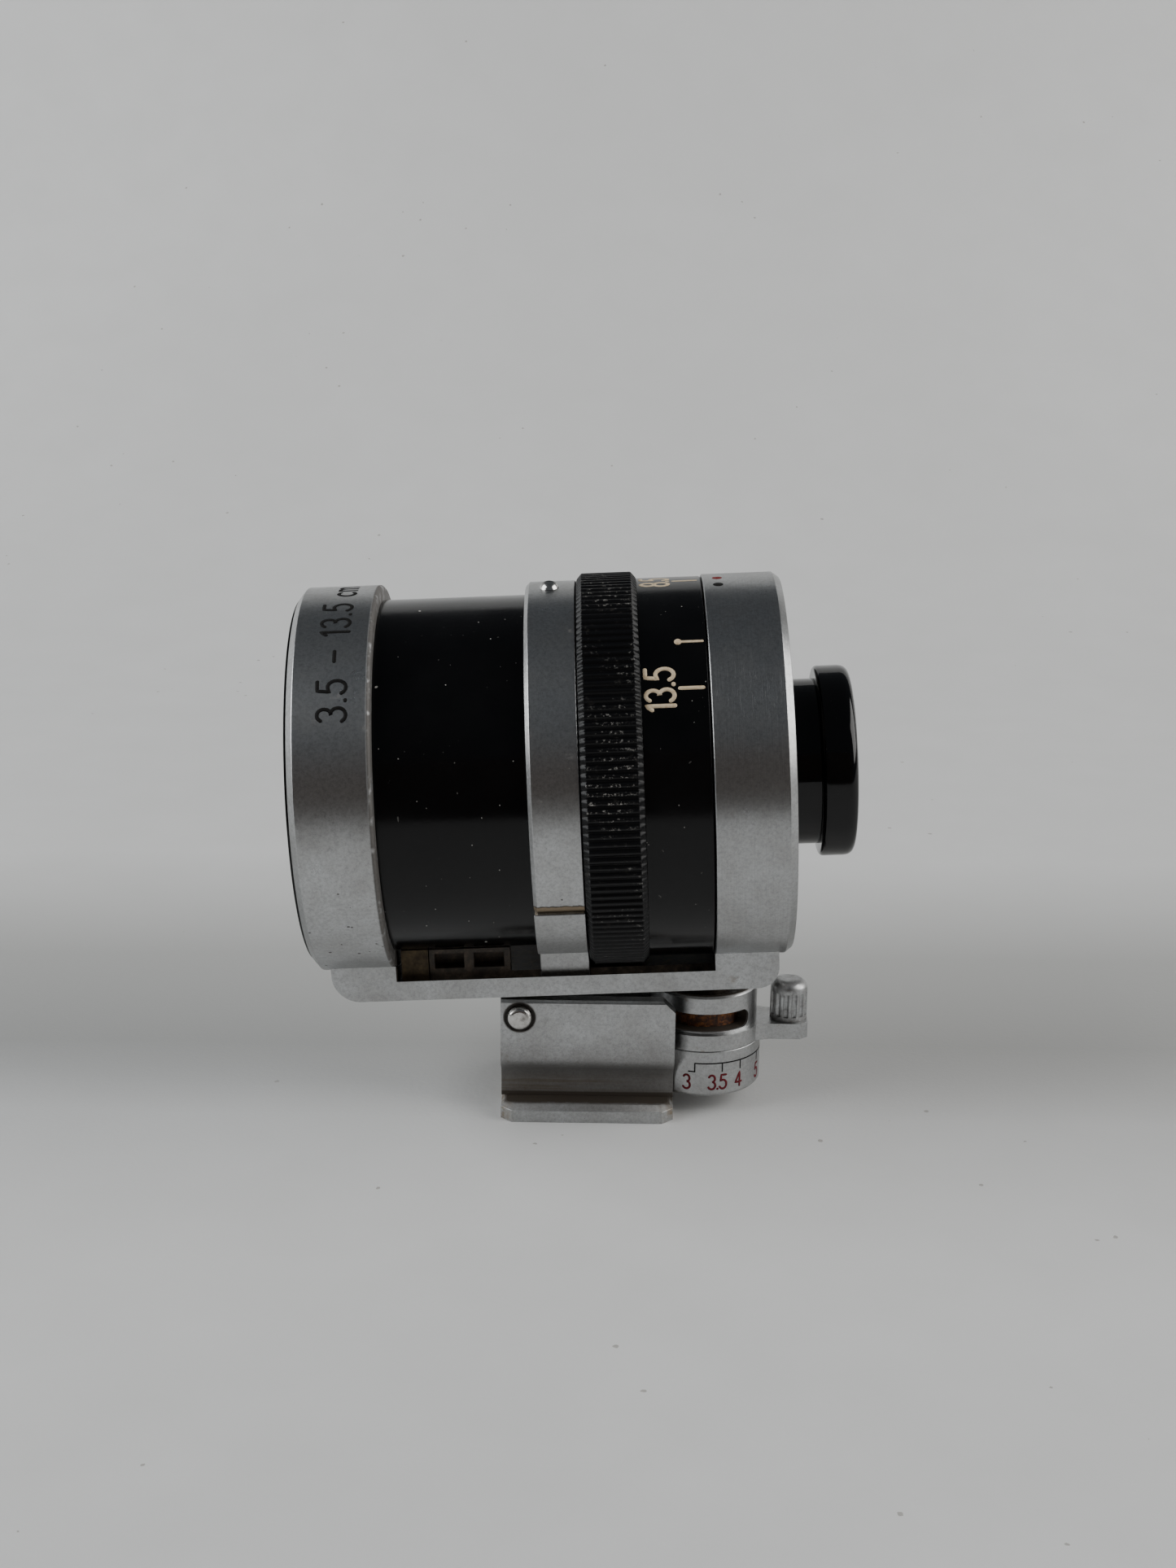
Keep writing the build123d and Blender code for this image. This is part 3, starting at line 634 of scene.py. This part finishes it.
def marks(name, strokes, width, wrap, material, body):
    """Filled engraving: every stroke is a slab, laid on the surface that wrap describes.
    wrap takes (across, up, height) in millimetres and gives metres in the shared frame;
    width is one width for all strokes or a list with one for each."""
    before = set(bpy.data.objects)
    for order, stroke in enumerate(strokes):
        wide = width[order] if isinstance(width, list) else width
        bar = slab(refine(np.asarray(stroke, dtype=float)), wide, order)
        x, y, z = wrap(bar[..., 0], bar[..., 1], bar[..., 2])
        surface(name + "_stroke", x, y, z, wrap_columns=True, caps=True)
    bars = [piece for piece in bpy.data.objects if piece not in before]
    work = bmesh.new()
    for bar in bars:
        work.from_mesh(bar.data)
        bpy.data.objects.remove(bar)
    mesh = bpy.data.meshes.new(name)
    work.to_mesh(mesh)
    work.free()
    mesh.materials.append(material)
    piece = bpy.data.objects.new(name, mesh)
    bpy.context.scene.collection.objects.link(piece)
    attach(piece, body)
    return piece


def paint(name, light, dark, roughness=0.5):
    """Filler rubbed into engraving: slightly uneven in colour and matt."""
    filler = Finish(name, Specular_IOR_Level=0.15)
    spot = filler.place()
    blotch = filler.noise(spot, 2.5, 4.0, 0.7)
    return filler.feed(Base_Color=filler.mix(filler.ramp(blotch, 0.35, 0.7), light, dark),
                       Roughness=roughness + blotch * 0.2,
                       Normal=filler.bump(filler.noise(spot, 12.0), 0.01))


black_fill = paint("black_fill", (0.003, 0.003, 0.003, 1), (0.010, 0.009, 0.008, 1), 0.65)
dark_red_fill = paint("dark_red_fill", (0.13, 0.010, 0.016, 1), (0.07, 0.007, 0.011, 1))


def round_drum(across, up, height):
    """Across runs round the drum from its near side towards the eyepiece, up is up."""
    a = across / DRUM_R
    r = DRUM_R + height
    return ((DIAL_X + r * np.sin(a)) * MM, -r * np.cos(a) * MM, up * MM)


FAR_DEGREES = 181.7
FOOT_DEGREES = 573.0


def drum_degrees(feet):
    """Degrees round the drum for a distance: the far end less a constant over the distance."""
    return FAR_DEGREES - FOOT_DEGREES / feet


SCALE_Z = 6.65
TICK_Z = SCALE_Z - 1.05
HOOK_LONG = 0.75
FIGURE_Z = 3.4
FIGURE_TALL, INFINITY_TALL = 1.75, 1.2
LINE_WIDTH, FIGURE_WIDTH = 0.16, 0.27
BEHIND_MOST, BEHIND_LOSS = 6.7, 0.127
DISTANCES = {"3": 3.0, "3.5": 3.5, "4": 4.0, "5": 5.0, "7": 7.0, "10": 10.0, "~": 1e6}
to_arc = DRUM_R * math.pi / 180
nearest, farthest = drum_degrees(DISTANCES["3"]) * to_arc, drum_degrees(DISTANCES["~"]) * to_arc
ticks = [line((drum_degrees(feet) * to_arc, SCALE_Z), (drum_degrees(feet) * to_arc, TICK_Z))
         for feet in DISTANCES.values()]
hook = line((nearest, TICK_Z), (nearest - HOOK_LONG, TICK_Z))
ring_line = line((nearest, SCALE_Z), (farthest, SCALE_Z))
marks("drum_scale_line", [ring_line, hook] + ticks, LINE_WIDTH, round_drum, black_fill,
      "foot")
figures = []
for text, feet in DISTANCES.items():
    # The near figures sit a few degrees behind their ticks, less so further round.
    behind = max(0.0, BEHIND_MOST - BEHIND_LOSS * drum_degrees(feet))
    tall = INFINITY_TALL if text == "~" else FIGURE_TALL
    for stroke in inscription(text, tall, gap=0.12, narrow=0.85):
        figures.append(stroke + ((drum_degrees(feet) - behind) * to_arc, FIGURE_Z))
marks("drum_figures", figures, FIGURE_WIDTH, round_drum, dark_red_fill, "foot")

# ---------------------------------------------------------------------------
# Cradle: a chromed brass saddle that holds the tube, with a blackened recess
# under the rings where the blacking is rubbed through to brown; the pivot lug
# below it. The key block, carriers and inner tubes are dull brass.
# ---------------------------------------------------------------------------
SIGHT_AHEAD = 0.3
RECESS = (-23.45, 13.1)
RECESS_REACH = 23.9
RECESS_HALF = 9.7
RECESS_EASE = 0.05
FLECK_TAN = (0.16, 0.14, 0.11, 1)
BRASS_TARNISHED = (0.11, 0.080, 0.042, 1)
BRASS_BROWN = (0.045, 0.033, 0.020, 1)
cradle = eased_copy("cradle", "cradle_saddle", 0.14, "finder")
cradle.data.materials.append(satin_chrome("cradle_chrome", grime=0.35, finder=True))
worn = Finish("worn_blacking")
spot = on_finder(worn)
rubbed = worn.noise(spot, 0.7, 6.0, 0.75, 0.3)
dusty = worn.noise(spot, 4.0, 3.0, 0.7)
tone = worn.node("ValToRGB", {0: rubbed}, stops=[
    (0.32, (0.020, 0.015, 0.011, 1)), (0.48, (0.050, 0.038, 0.028, 1)),
    (0.60, (0.090, 0.068, 0.048, 1)), (0.76, (0.17, 0.13, 0.09, 1))])
worn.feed(Base_Color=worn.mix(worn.ramp(dusty, 0.6, 0.8) * 0.4, tone, FLECK_TAN),
          Roughness=0.45 + rubbed * 0.4, Normal=worn.bump(rubbed, 0.05))
cradle.data.materials.append(worn.material)

# The blacking goes on the faces that lie within the recess, in the finder's frame.
centres = np.empty(len(cradle.data.polygons) * 3)
cradle.data.polygons.foreach_get("center", centres)
centres = centres.reshape(-1, 3) / MM - (0, 0, SIGHT_HEIGHT / MM)
along_axis = (centres[:, 0] * math.cos(LEAN) + centres[:, 2] * math.sin(LEAN)) - SIGHT_AHEAD
below = -centres[:, 0] * math.sin(LEAN) + centres[:, 2] * math.cos(LEAN)
inside = ((along_axis > RECESS[0] - RECESS_EASE) & (along_axis < RECESS[1] + RECESS_EASE)
          & (np.hypot(centres[:, 1], below) < RECESS_REACH)
          & (np.abs(centres[:, 1]) < RECESS_HALF))
cradle.data.polygons.foreach_set("material_index", inside.astype(int))


def lug_grime(finish, spot, x, y, z):
    """Cloudy grime all over the lug."""
    return finish.noise(spot, 0.5, 3.0) * 0.5 + 0.45


lug = eased_copy("cradle_pivot_lug", "pivot_lug", 0.12, "finder")
lug.data.materials.append(satin_chrome("lug_chrome", grime=0.6, finder=True, grime_and_shade=lug_grime))
finish_node("window_rail", worn.material)

brass = Finish("dull_brass", Metallic=0.6)
spot = on_finder(brass)
tarnish = brass.noise(spot, 0.6, 5.0, 0.65)
turning = brass.noise(brass.stretch(spot, (8.0, 0.1, 0.1)), 1.0, 2.0)
tone = brass.mix(brass.ramp(tarnish, 0.35, 0.65), BRASS_TARNISHED, BRASS_BROWN)
brass.feed(Base_Color=tone, Roughness=0.45 + tarnish * 0.3, Normal=brass.bump(turning, 0.01))
for node in ("barrel_key_block", "guide_barrel", "cam_tube", "front_carrier", "rear_carrier"):
    finish_node(node, brass.material)


# ---------------------------------------------------------------------------
# Front ring: turned brass, satin chromed, with a bright polished chamfer at
# the front and black-filled figures cut round it. Nicked low down.
# ---------------------------------------------------------------------------
def eased(corners, ease, steps=4, hold=0.02):
    """Closed (u, r) outline, u along the sight axis and r from it in millimetres, with every
    corner rounded by a quadratic curve: it starts and ends ease away from the corner, which
    is its control point. A holding point just outside each end keeps the flats flat."""
    p = np.asarray(corners, dtype=float)
    back, ahead = np.roll(p, 1, 0) - p, np.roll(p, -1, 0) - p
    reach_back, reach_ahead = np.hypot(*back.T), np.hypot(*ahead.T)
    back, ahead = back / reach_back[:, None], ahead / reach_ahead[:, None]
    cut = np.minimum(np.broadcast_to(ease, len(p)), 0.42 * np.minimum(reach_back, reach_ahead))
    cut = cut[:, None]
    s = np.linspace(0, 1, steps + 1)[:, None, None]
    start, end = p + back * cut, p + ahead * cut
    curve = (1 - s) ** 2 * start + 2 * s * (1 - s) * p + s ** 2 * end
    rows = np.concatenate([(start + back * hold)[None], curve, (end + ahead * hold)[None]])
    return rows.transpose(1, 0, 2).reshape(-1, 2)


def finder_point(u, y, z):
    """Millimetres in the finder's frame to metres in the shared frame: lean back, lift."""
    u = u + SIGHT_AHEAD
    return ((u * math.cos(LEAN) - z * math.sin(LEAN)) * MM, y * MM,
            SIGHT_HEIGHT + (u * math.sin(LEAN) + z * math.cos(LEAN)) * MM)


def turned(name, outline, body, node, material, span=(-90.0, 270.0), steps=288,
           relief=None):
    """The outline carried round the sight axis: (u, r) at angle a is (u, -r cos a, r sin a),
    with a from the near side upwards. relief(u, r, a) changes the radius."""
    whole = span[1] - span[0] >= 360
    angle = np.radians(np.linspace(span[0], span[1], steps + 1))
    if whole:
        angle = angle[:-1]
    a, u = np.meshgrid(angle, outline[:, 0], indexing="ij")
    r = np.broadcast_to(outline[:, 1], a.shape)
    if relief is not None:
        r = relief(u, r, a)
    x, y, z = finder_point(u, -r * np.cos(a), r * np.sin(a))
    piece = surface(name, x, y, z, wrap_rows=whole, wrap_columns=True, caps=not whole)
    piece.data.materials.append(material)
    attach(piece, body)
    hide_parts(node)
    return piece


RING_R = 22.15
FRONT = (-32.6, -23.45)
RING_BORE = 20.9
LIP_SEAT = FRONT[0] + 3.1
PITS_BELOW = -7.0


def front_ring_grime(finish, spot, x, y, z):
    """Pits low on the near side, and dirt against the barrel behind the ring."""
    pit = finish.node("TexVoronoi", {"Vector": finish.stretch(spot, (1.0, 1.0, 1.6)),
                                     "Scale": 0.75}, out="Distance")
    pits = (pit < 0.15) * (finish.noise(spot, 0.5, 2.0) > 0.48) * (z < PITS_BELOW)
    shoulder = finish.ramp(x, FRONT[1] - 0.20, FRONT[1] - 0.04)
    return pits * 0.85 + shoulder * finish.ramp(finish.noise(spot, 0.8, 4.0), 0.25, 0.45) * 0.8


front_outline = eased([
    (FRONT[0], RING_BORE), (FRONT[0], RING_R - 0.9), (FRONT[0] + 0.75, RING_R),
    (FRONT[1] - 0.25, RING_R), (FRONT[1], RING_R - 0.25), (FRONT[1], 16.6),
    (FRONT[1] - 1.2, 16.6), (FRONT[1] - 1.2, 19.0), (LIP_SEAT, 19.0), (LIP_SEAT, RING_BORE)],
    0.08)
turned("front_ring_shell", front_outline, "finder", "front_ring",
       satin_chrome("front_ring_chrome", grime=0.2, finder=True, grime_and_shade=front_ring_grime))


def round_tube(radius, centre_deg, centre_u):
    """Wrap for text on the tube: across runs up the near side, up points to the front."""
    def wrap(across, up, height):
        a = math.radians(centre_deg) + across / radius
        r = radius + height
        return finder_point(centre_u - up, -r * np.cos(a), r * np.sin(a))
    return wrap


marks("front_ring_figures", inscription("3.5 - 13.5 cm", height=3.1, gap=0.24, narrow=0.9),
      0.42, round_tube(RING_R, centre_deg=62.5, centre_u=-26.0), black_fill, "finder")

# ---------------------------------------------------------------------------
# Black lacquer: the lip inside the front ring, the barrel, the scale sleeve,
# the rear cover and the spacers. High gloss, with dust, pinholes and chips.
# ---------------------------------------------------------------------------
LACQUER_DEEP = (0.0012, 0.0012, 0.0015, 1)
LACQUER_THIN = (0.0030, 0.0030, 0.0032, 1)
CHIP_GREY = (0.42, 0.41, 0.38, 1)
LACQUER_ROUGHNESS = 0.15


def black_lacquer(name, wear=1.0):
    """Gloss black, faintly smeared; wear is the strength of its chips and scratches."""
    lacquer = Finish(name, IOR=1.34)
    spot = on_finder(lacquer)
    smear = lacquer.noise(spot, 0.12, 4.0, 0.6)
    fleck = lacquer.node("TexVoronoi", {"Vector": spot, "Scale": 0.8}, out="Distance")
    big_fleck = lacquer.node("TexVoronoi", {"Vector": spot, "Scale": 0.23}, out="Distance")
    ragged = (lacquer.noise(spot, 3.0, 2.0) - 0.5) * 0.06
    chips = ((fleck + ragged < 0.050) * (lacquer.noise(spot, 0.4, 1.0) > 0.48)
             + (big_fleck + ragged < 0.035)).clamped() * wear
    scratch_at = lacquer.stretch(spot, (2.2, 3.0, 0.7))
    scratch = lacquer.ramp(lacquer.noise(scratch_at, 1.0, 2.0), 0.76, 0.775) * 0.25 * wear
    colour = lacquer.mix(lacquer.ramp(smear, 0.3, 0.8), LACQUER_DEEP, LACQUER_THIN)
    colour = lacquer.mix((chips + scratch).clamped() * 0.85, colour, CHIP_GREY)
    peel = lacquer.noise(spot, 1.6, 2.0)
    rough = LACQUER_ROUGHNESS + lacquer.ramp(smear, 0.4, 0.8) * 0.08 + chips * 0.4
    return lacquer.feed(Base_Color=colour, Roughness=rough,
                        Normal=lacquer.bump(peel + chips * 2.0, 0.004))


lacquer = black_lacquer("black_lacquer")
LIP_U = FRONT[0] - 0.3
lip_outline = eased([
    (LIP_U, 20.5), (LIP_U, RING_BORE), (LIP_SEAT, RING_BORE), (LIP_SEAT, 17.2),
    (FRONT[0] + 2.3, 17.2), (FRONT[0] + 2.3, 17.9), (FRONT[0] + 1.6, 18.1),
    (FRONT[0] + 1.6, 18.8), (FRONT[0] + 0.9, 19.0), (FRONT[0] + 0.9, 19.7),
    (FRONT[0] + 0.2, 19.9)], 0.05, steps=3)
turned("front_lip", lip_outline, "finder", "front_bezel", lacquer)
BARREL = (-23.45, -6.95)
barrel_outline = eased([(BARREL[0], 19.9), (BARREL[0], 20.4), (BARREL[1], 20.4),
                        (BARREL[1], 19.9)], 0.05, steps=3)
turned("barrel_shell", barrel_outline, "finder", "front_barrel", lacquer,
       span=(-60.0, 240.0))
REAR = (13.05, 21.9)
COVER = (REAR[1] - 1.4, REAR[1] - 0.2)
COVER_R = 20.6
NECK_R = 9.55
cover_outline = eased([(COVER[0], NECK_R), (COVER[0], COVER_R), (COVER[1], COVER_R),
                       (COVER[1], NECK_R)], 0.08, steps=3)
turned("rear_cover", cover_outline, "finder", "rear_cover_plate", lacquer)
for node in ("objective_spacer", "field_mask", "eye_lens_retainer"):
    finish_node(node, lacquer)

# ---------------------------------------------------------------------------
# Middle band: satin chrome on brass, chamfered at the front and open below, where
# it meets a slightly proud bridge block. A strip of bare brass shows at the joint.
# ---------------------------------------------------------------------------
MID = (-6.95, -1.3)
MID_R = 21.85
BARE_STRIP = (-11.6, -10.05)
DARK_LINE = (-10.12, -9.95)
mid_outline = eased([(MID[0], 19.0), (MID[0], MID_R - 0.45), (MID[0] + 0.45, MID_R),
                     (MID[1] - 0.1, MID_R), (MID[1], MID_R - 0.1), (MID[1], 19.0)], 0.06)


def ragged(finish, spot, z):
    """The height z with its level lines made uneven."""
    return z + (finish.noise(spot, 1.4, 3.0, 0.7) - 0.5) * 0.35


def band_ledge(finish, spot, x, y, z):
    """A strip of bare brass along the band's lower ends, ragged at its top."""
    return (ragged(finish, spot, z) < BARE_STRIP[1]) * (z > BARE_STRIP[0]) * 0.9


def band_line(finish, spot, x, y, z):
    """Dark line above the bare strip, and a few dark spots on the band."""
    uneven = ragged(finish, spot, z)
    pit = finish.node("TexVoronoi", {"Vector": spot, "Scale": 0.5}, out="Distance")
    spots = (pit < 0.07) * (finish.noise(spot, 0.3, 1.0) > 0.52)
    return (uneven < DARK_LINE[1]) * (uneven > DARK_LINE[0]) * 0.8 + spots * 0.8


turned("mid_band", mid_outline, "finder", "mid_collar",
       satin_chrome("mid_band_chrome", grime=0.2, finder=True, grime_and_shade=band_line,
                    bare=band_ledge), span=(-29.8, 209.8))
bridge = eased_copy("collar_bridge_block", "bridge_block", 0.14, "finder")
bridge.data.materials.append(satin_chrome("bridge_chrome", grime=0.35, finder=True))

# ---------------------------------------------------------------------------
# Zoom ring: a brass ring with straight knurling cut round it, black lacquered. It
# turns with the scale sleeve; the crests of its ridges are rubbed bright.
# ---------------------------------------------------------------------------
KNURL = (-1.2, 5.6)
KNURL_R = 22.6
RIDGES = 150
RIDGE_DEPTH = 0.32
GROOVE_HALF = 0.34
SKIN = 0.75
STEPS_PER_RIDGE = 10
GRIP_BLACK = (0.002, 0.002, 0.0025, 1)
GRIP_DUST = (0.05, 0.045, 0.038, 1)
CREST_METAL = (0.58, 0.56, 0.52, 1)
pitch = 2 * math.pi * KNURL_R / RIDGES


def knurl(u, r, a):
    """Radius less a V groove once every pitch, only within SKIN of the outer face."""
    offset = np.abs((a * RIDGES / (2 * math.pi) + 0.5) % 1.0 - 0.5) * pitch
    groove = np.clip(1 - offset / GROOVE_HALF, 0, 1) * RIDGE_DEPTH
    return np.maximum(r - groove * (r > KNURL_R - SKIN), np.minimum(r, KNURL_R - SKIN))


knurl_outline = eased([(KNURL[0], 18.2), (KNURL[0], KNURL_R - 0.7), (KNURL[0] + 0.6, KNURL_R),
                       (KNURL[1] - 0.6, KNURL_R), (KNURL[1], KNURL_R - 0.7), (KNURL[1], 18.2)],
                      0.1, steps=2)
grip = Finish("knurled_lacquer", IOR=1.33)
spot = on_finder(grip)
yz = grip.stretch(spot, (0.0, 1.0, 1.0))
radius = grip.node("VectorMath", {0: yz}, out="Value", operation="LENGTH")
crest = grip.ramp(radius, KNURL_R - 0.10, KNURL_R - 0.01)
patch = grip.ramp(grip.noise(spot, 0.16, 3.0), 0.50, 0.70)
speck = grip.ramp(grip.noise(spot, 2.6, 4.0, 0.75), 0.56, 0.64)
rubbed_bright = (crest * patch * speck).clamped()
dust = grip.ramp(grip.noise(spot, 0.9, 5.0, 0.7), 0.60, 0.72) * 0.35
tone = grip.mix(dust, GRIP_BLACK, GRIP_DUST)
grip.feed(Base_Color=grip.mix(rubbed_bright, tone, CREST_METAL),
          Roughness=0.36 + dust * 0.5, Metallic=rubbed_bright,
          Normal=grip.bump(grip.noise(spot, 6.0, 3.0), 0.008))
turned("knurled_ring", knurl_outline, "zoom_barrel", "zoom_grip_ring", grip.material,
       steps=RIDGES * STEPS_PER_RIDGE, relief=knurl)

# ---------------------------------------------------------------------------
# Scale sleeve: black lacquered brass, with the focal lengths cut in and filled
# with cream. Steps between them have a thinner tick that ends in a dot.
# ---------------------------------------------------------------------------
SLEEVE = (5.6, 12.9)
SLEEVE_R = 21.8
sleeve_outline = eased([(SLEEVE[0], 18.2), (SLEEVE[0], SLEEVE_R), (SLEEVE[1] - 0.1, SLEEVE_R),
                        (SLEEVE[1], SLEEVE_R - 0.1), (SLEEVE[1], 20.8), (SLEEVE[0] + 1.2, 20.8),
                        (SLEEVE[0] + 1.2, 18.2)], 0.04, steps=3)
turned("scale_sleeve_shell", sleeve_outline, "zoom_barrel", "scale_sleeve",
       black_lacquer("sleeve_lacquer", wear=0.7))
cream = paint("cream_fill", (0.66, 0.55, 0.40, 1), (0.50, 0.37, 0.22, 1))
FOCAL_AT = {"13.5": 37.9, "8.5": 88.7, "5": 138.0, "3.5": 181.5}
BETWEEN_AT = (53.5, 112.0, 160.0)
FOCAL_TALL = 3.08
FOCAL_UP = 3.72
FOCAL_TICK = (0.62, 3.1)
THIN_TICK = (0.45, 2.9)
DOT_AT = 3.1
DOT_HALF = 0.01
FOCAL_WIDTH, TICK_WIDTH, THIN_WIDTH, DOT_WIDTH = 0.45, 0.42, 0.32, 0.8
per_degree = SLEEVE_R * math.pi / 180
strokes, widths = [], []
for text, degrees in FOCAL_AT.items():
    middle = degrees * per_degree
    for stroke in inscription(text, FOCAL_TALL, gap=0.15, narrow=0.8):
        strokes.append(stroke + (middle, FOCAL_UP))
        widths.append(FOCAL_WIDTH)
    strokes.append(line((middle, FOCAL_TICK[0]), (middle, FOCAL_TICK[1])))
    widths.append(TICK_WIDTH)
for degrees in BETWEEN_AT:
    middle = degrees * per_degree
    strokes.append(line((middle, THIN_TICK[0]), (middle, THIN_TICK[1])))
    widths.append(THIN_WIDTH)
    strokes.append(line((middle - DOT_HALF, DOT_AT), (middle + DOT_HALF, DOT_AT)))
    widths.append(DOT_WIDTH)
marks("sleeve_figures", strokes, widths, round_tube(SLEEVE_R, 0.0, SLEEVE[1]), cream,
      "zoom_barrel")

# ---------------------------------------------------------------------------
# Rear ring: turned brass, satin chromed and brushed round its axis; it closes the
# tube behind the sleeve. A red and a black index dot are let into its front edge.
# ---------------------------------------------------------------------------
REAR_R = 22.0
INDEX_BEHIND = 14.75 - REAR[0]
INDEX_WIDTH = 1.15
RED_DEGREES, BLACK_DEGREES = 88.6, 81.6
rear_outline = eased([
    (REAR[0], 16.6), (REAR[0], REAR_R - 0.1), (REAR[0] + 0.1, REAR_R), (REAR[1] - 0.8, REAR_R),
    (REAR[1], REAR_R - 0.6), (REAR[1], COVER_R), (REAR[0] + 1.6, COVER_R), (REAR[0] + 1.6, 15.6),
    (REAR[0] + 0.6, 15.6), (REAR[0] + 0.6, 16.6)], 0.06)
turned("rear_ring_shell", rear_outline, "finder", "rear_ring",
       satin_chrome("rear_ring_chrome", grime=0.15, finder=True, brushed=0.7))
dot = line((-DOT_HALF, -INDEX_BEHIND), (DOT_HALF, -INDEX_BEHIND))
marks("index_dot_red", [dot], INDEX_WIDTH, round_tube(REAR_R, RED_DEGREES, REAR[0]),
      paint("red_fill", (0.20, 0.02, 0.02, 1), (0.12, 0.01, 0.01, 1)), "finder")
marks("index_dot_black", [dot], INDEX_WIDTH, round_tube(REAR_R, BLACK_DEGREES, REAR[0]),
      black_fill, "finder")

# ---------------------------------------------------------------------------
# Eyepiece: a polished black moulding, a neck and a wider flange with a full
# round at the back, and a small eye lens behind a retaining ring.
# ---------------------------------------------------------------------------
MOULDING_BLACK = (0.0015, 0.0015, 0.0018, 1)
MOULDING_SPECK = (0.3, 0.3, 0.28, 1)
moulding = Finish("black_moulding", IOR=1.38)
spot = on_finder(moulding)
smear = moulding.noise(spot, 0.25, 4.0, 0.6)
speck = moulding.node("TexVoronoi", {"Vector": spot, "Scale": 1.1}, out="Distance") < 0.03
moulding.feed(
    Base_Color=moulding.mix(speck * 0.4, MOULDING_BLACK, MOULDING_SPECK),
    Roughness=0.07 + moulding.ramp(smear, 0.4, 0.75) * 0.10,
    Normal=moulding.bump(moulding.noise(spot, 0.9, 2.0), 0.004))
NECK = (17.4, 25.6)
FLANGE = (25.6, 29.6)
FLANGE_R = 11.0
EYE_BORE = 8.0
neck_outline = eased([
    (NECK[0], 7.2), (NECK[0], 11.4), (COVER[0], 11.4), (COVER[0], NECK_R), (NECK[1], NECK_R),
    (NECK[1], EYE_BORE), (NECK[0] + 1.0, EYE_BORE), (NECK[0] + 1.0, 7.2)], 0.05, steps=3)
turned("eyepiece_neck", neck_outline, "finder", "eyepiece_tube", moulding.material,
       steps=192)
flange_outline = eased([(FLANGE[0], EYE_BORE), (FLANGE[0], FLANGE_R), (FLANGE[1], FLANGE_R),
                        (FLANGE[1], EYE_BORE)], (0.1, 0.55, 2.2, 0.3), steps=8)
turned("eyepiece_cup", flange_outline, "finder", "eyepiece_flange", moulding.material,
       steps=192)

# ---------------------------------------------------------------------------
# Glass: ground and coated lenses, held in the front ring, on the two sliding
# carriers and behind the eyepiece, with a film and a little dust on them.
# ---------------------------------------------------------------------------
COATING_BLUE = (0.90, 0.95, 1.0, 1)
COATING_VIOLET = (0.96, 0.93, 1.0, 1)
glass = Finish("coated_glass", Transmission_Weight=1.0, IOR=1.52, Coat_IOR=1.6)
spot = on_finder(glass)
film = glass.noise(spot, 0.1, 3.0)
dust = glass.node("TexVoronoi", {"Vector": spot, "Scale": 0.9}, out="Distance") < 0.03
glass.feed(Base_Color=glass.mix(film, COATING_BLUE, COATING_VIOLET),
           Roughness=0.01 + dust * 0.3, Coat_Weight=0.3 + film * 0.3,
           Normal=glass.bump(dust * 1.0, 0.005))
for node in ("objective_lens", "objective_inner_lens", "front_carrier_lens",
             "rear_carrier_lens", "eye_lens"):
    finish_node(node, glass.material)
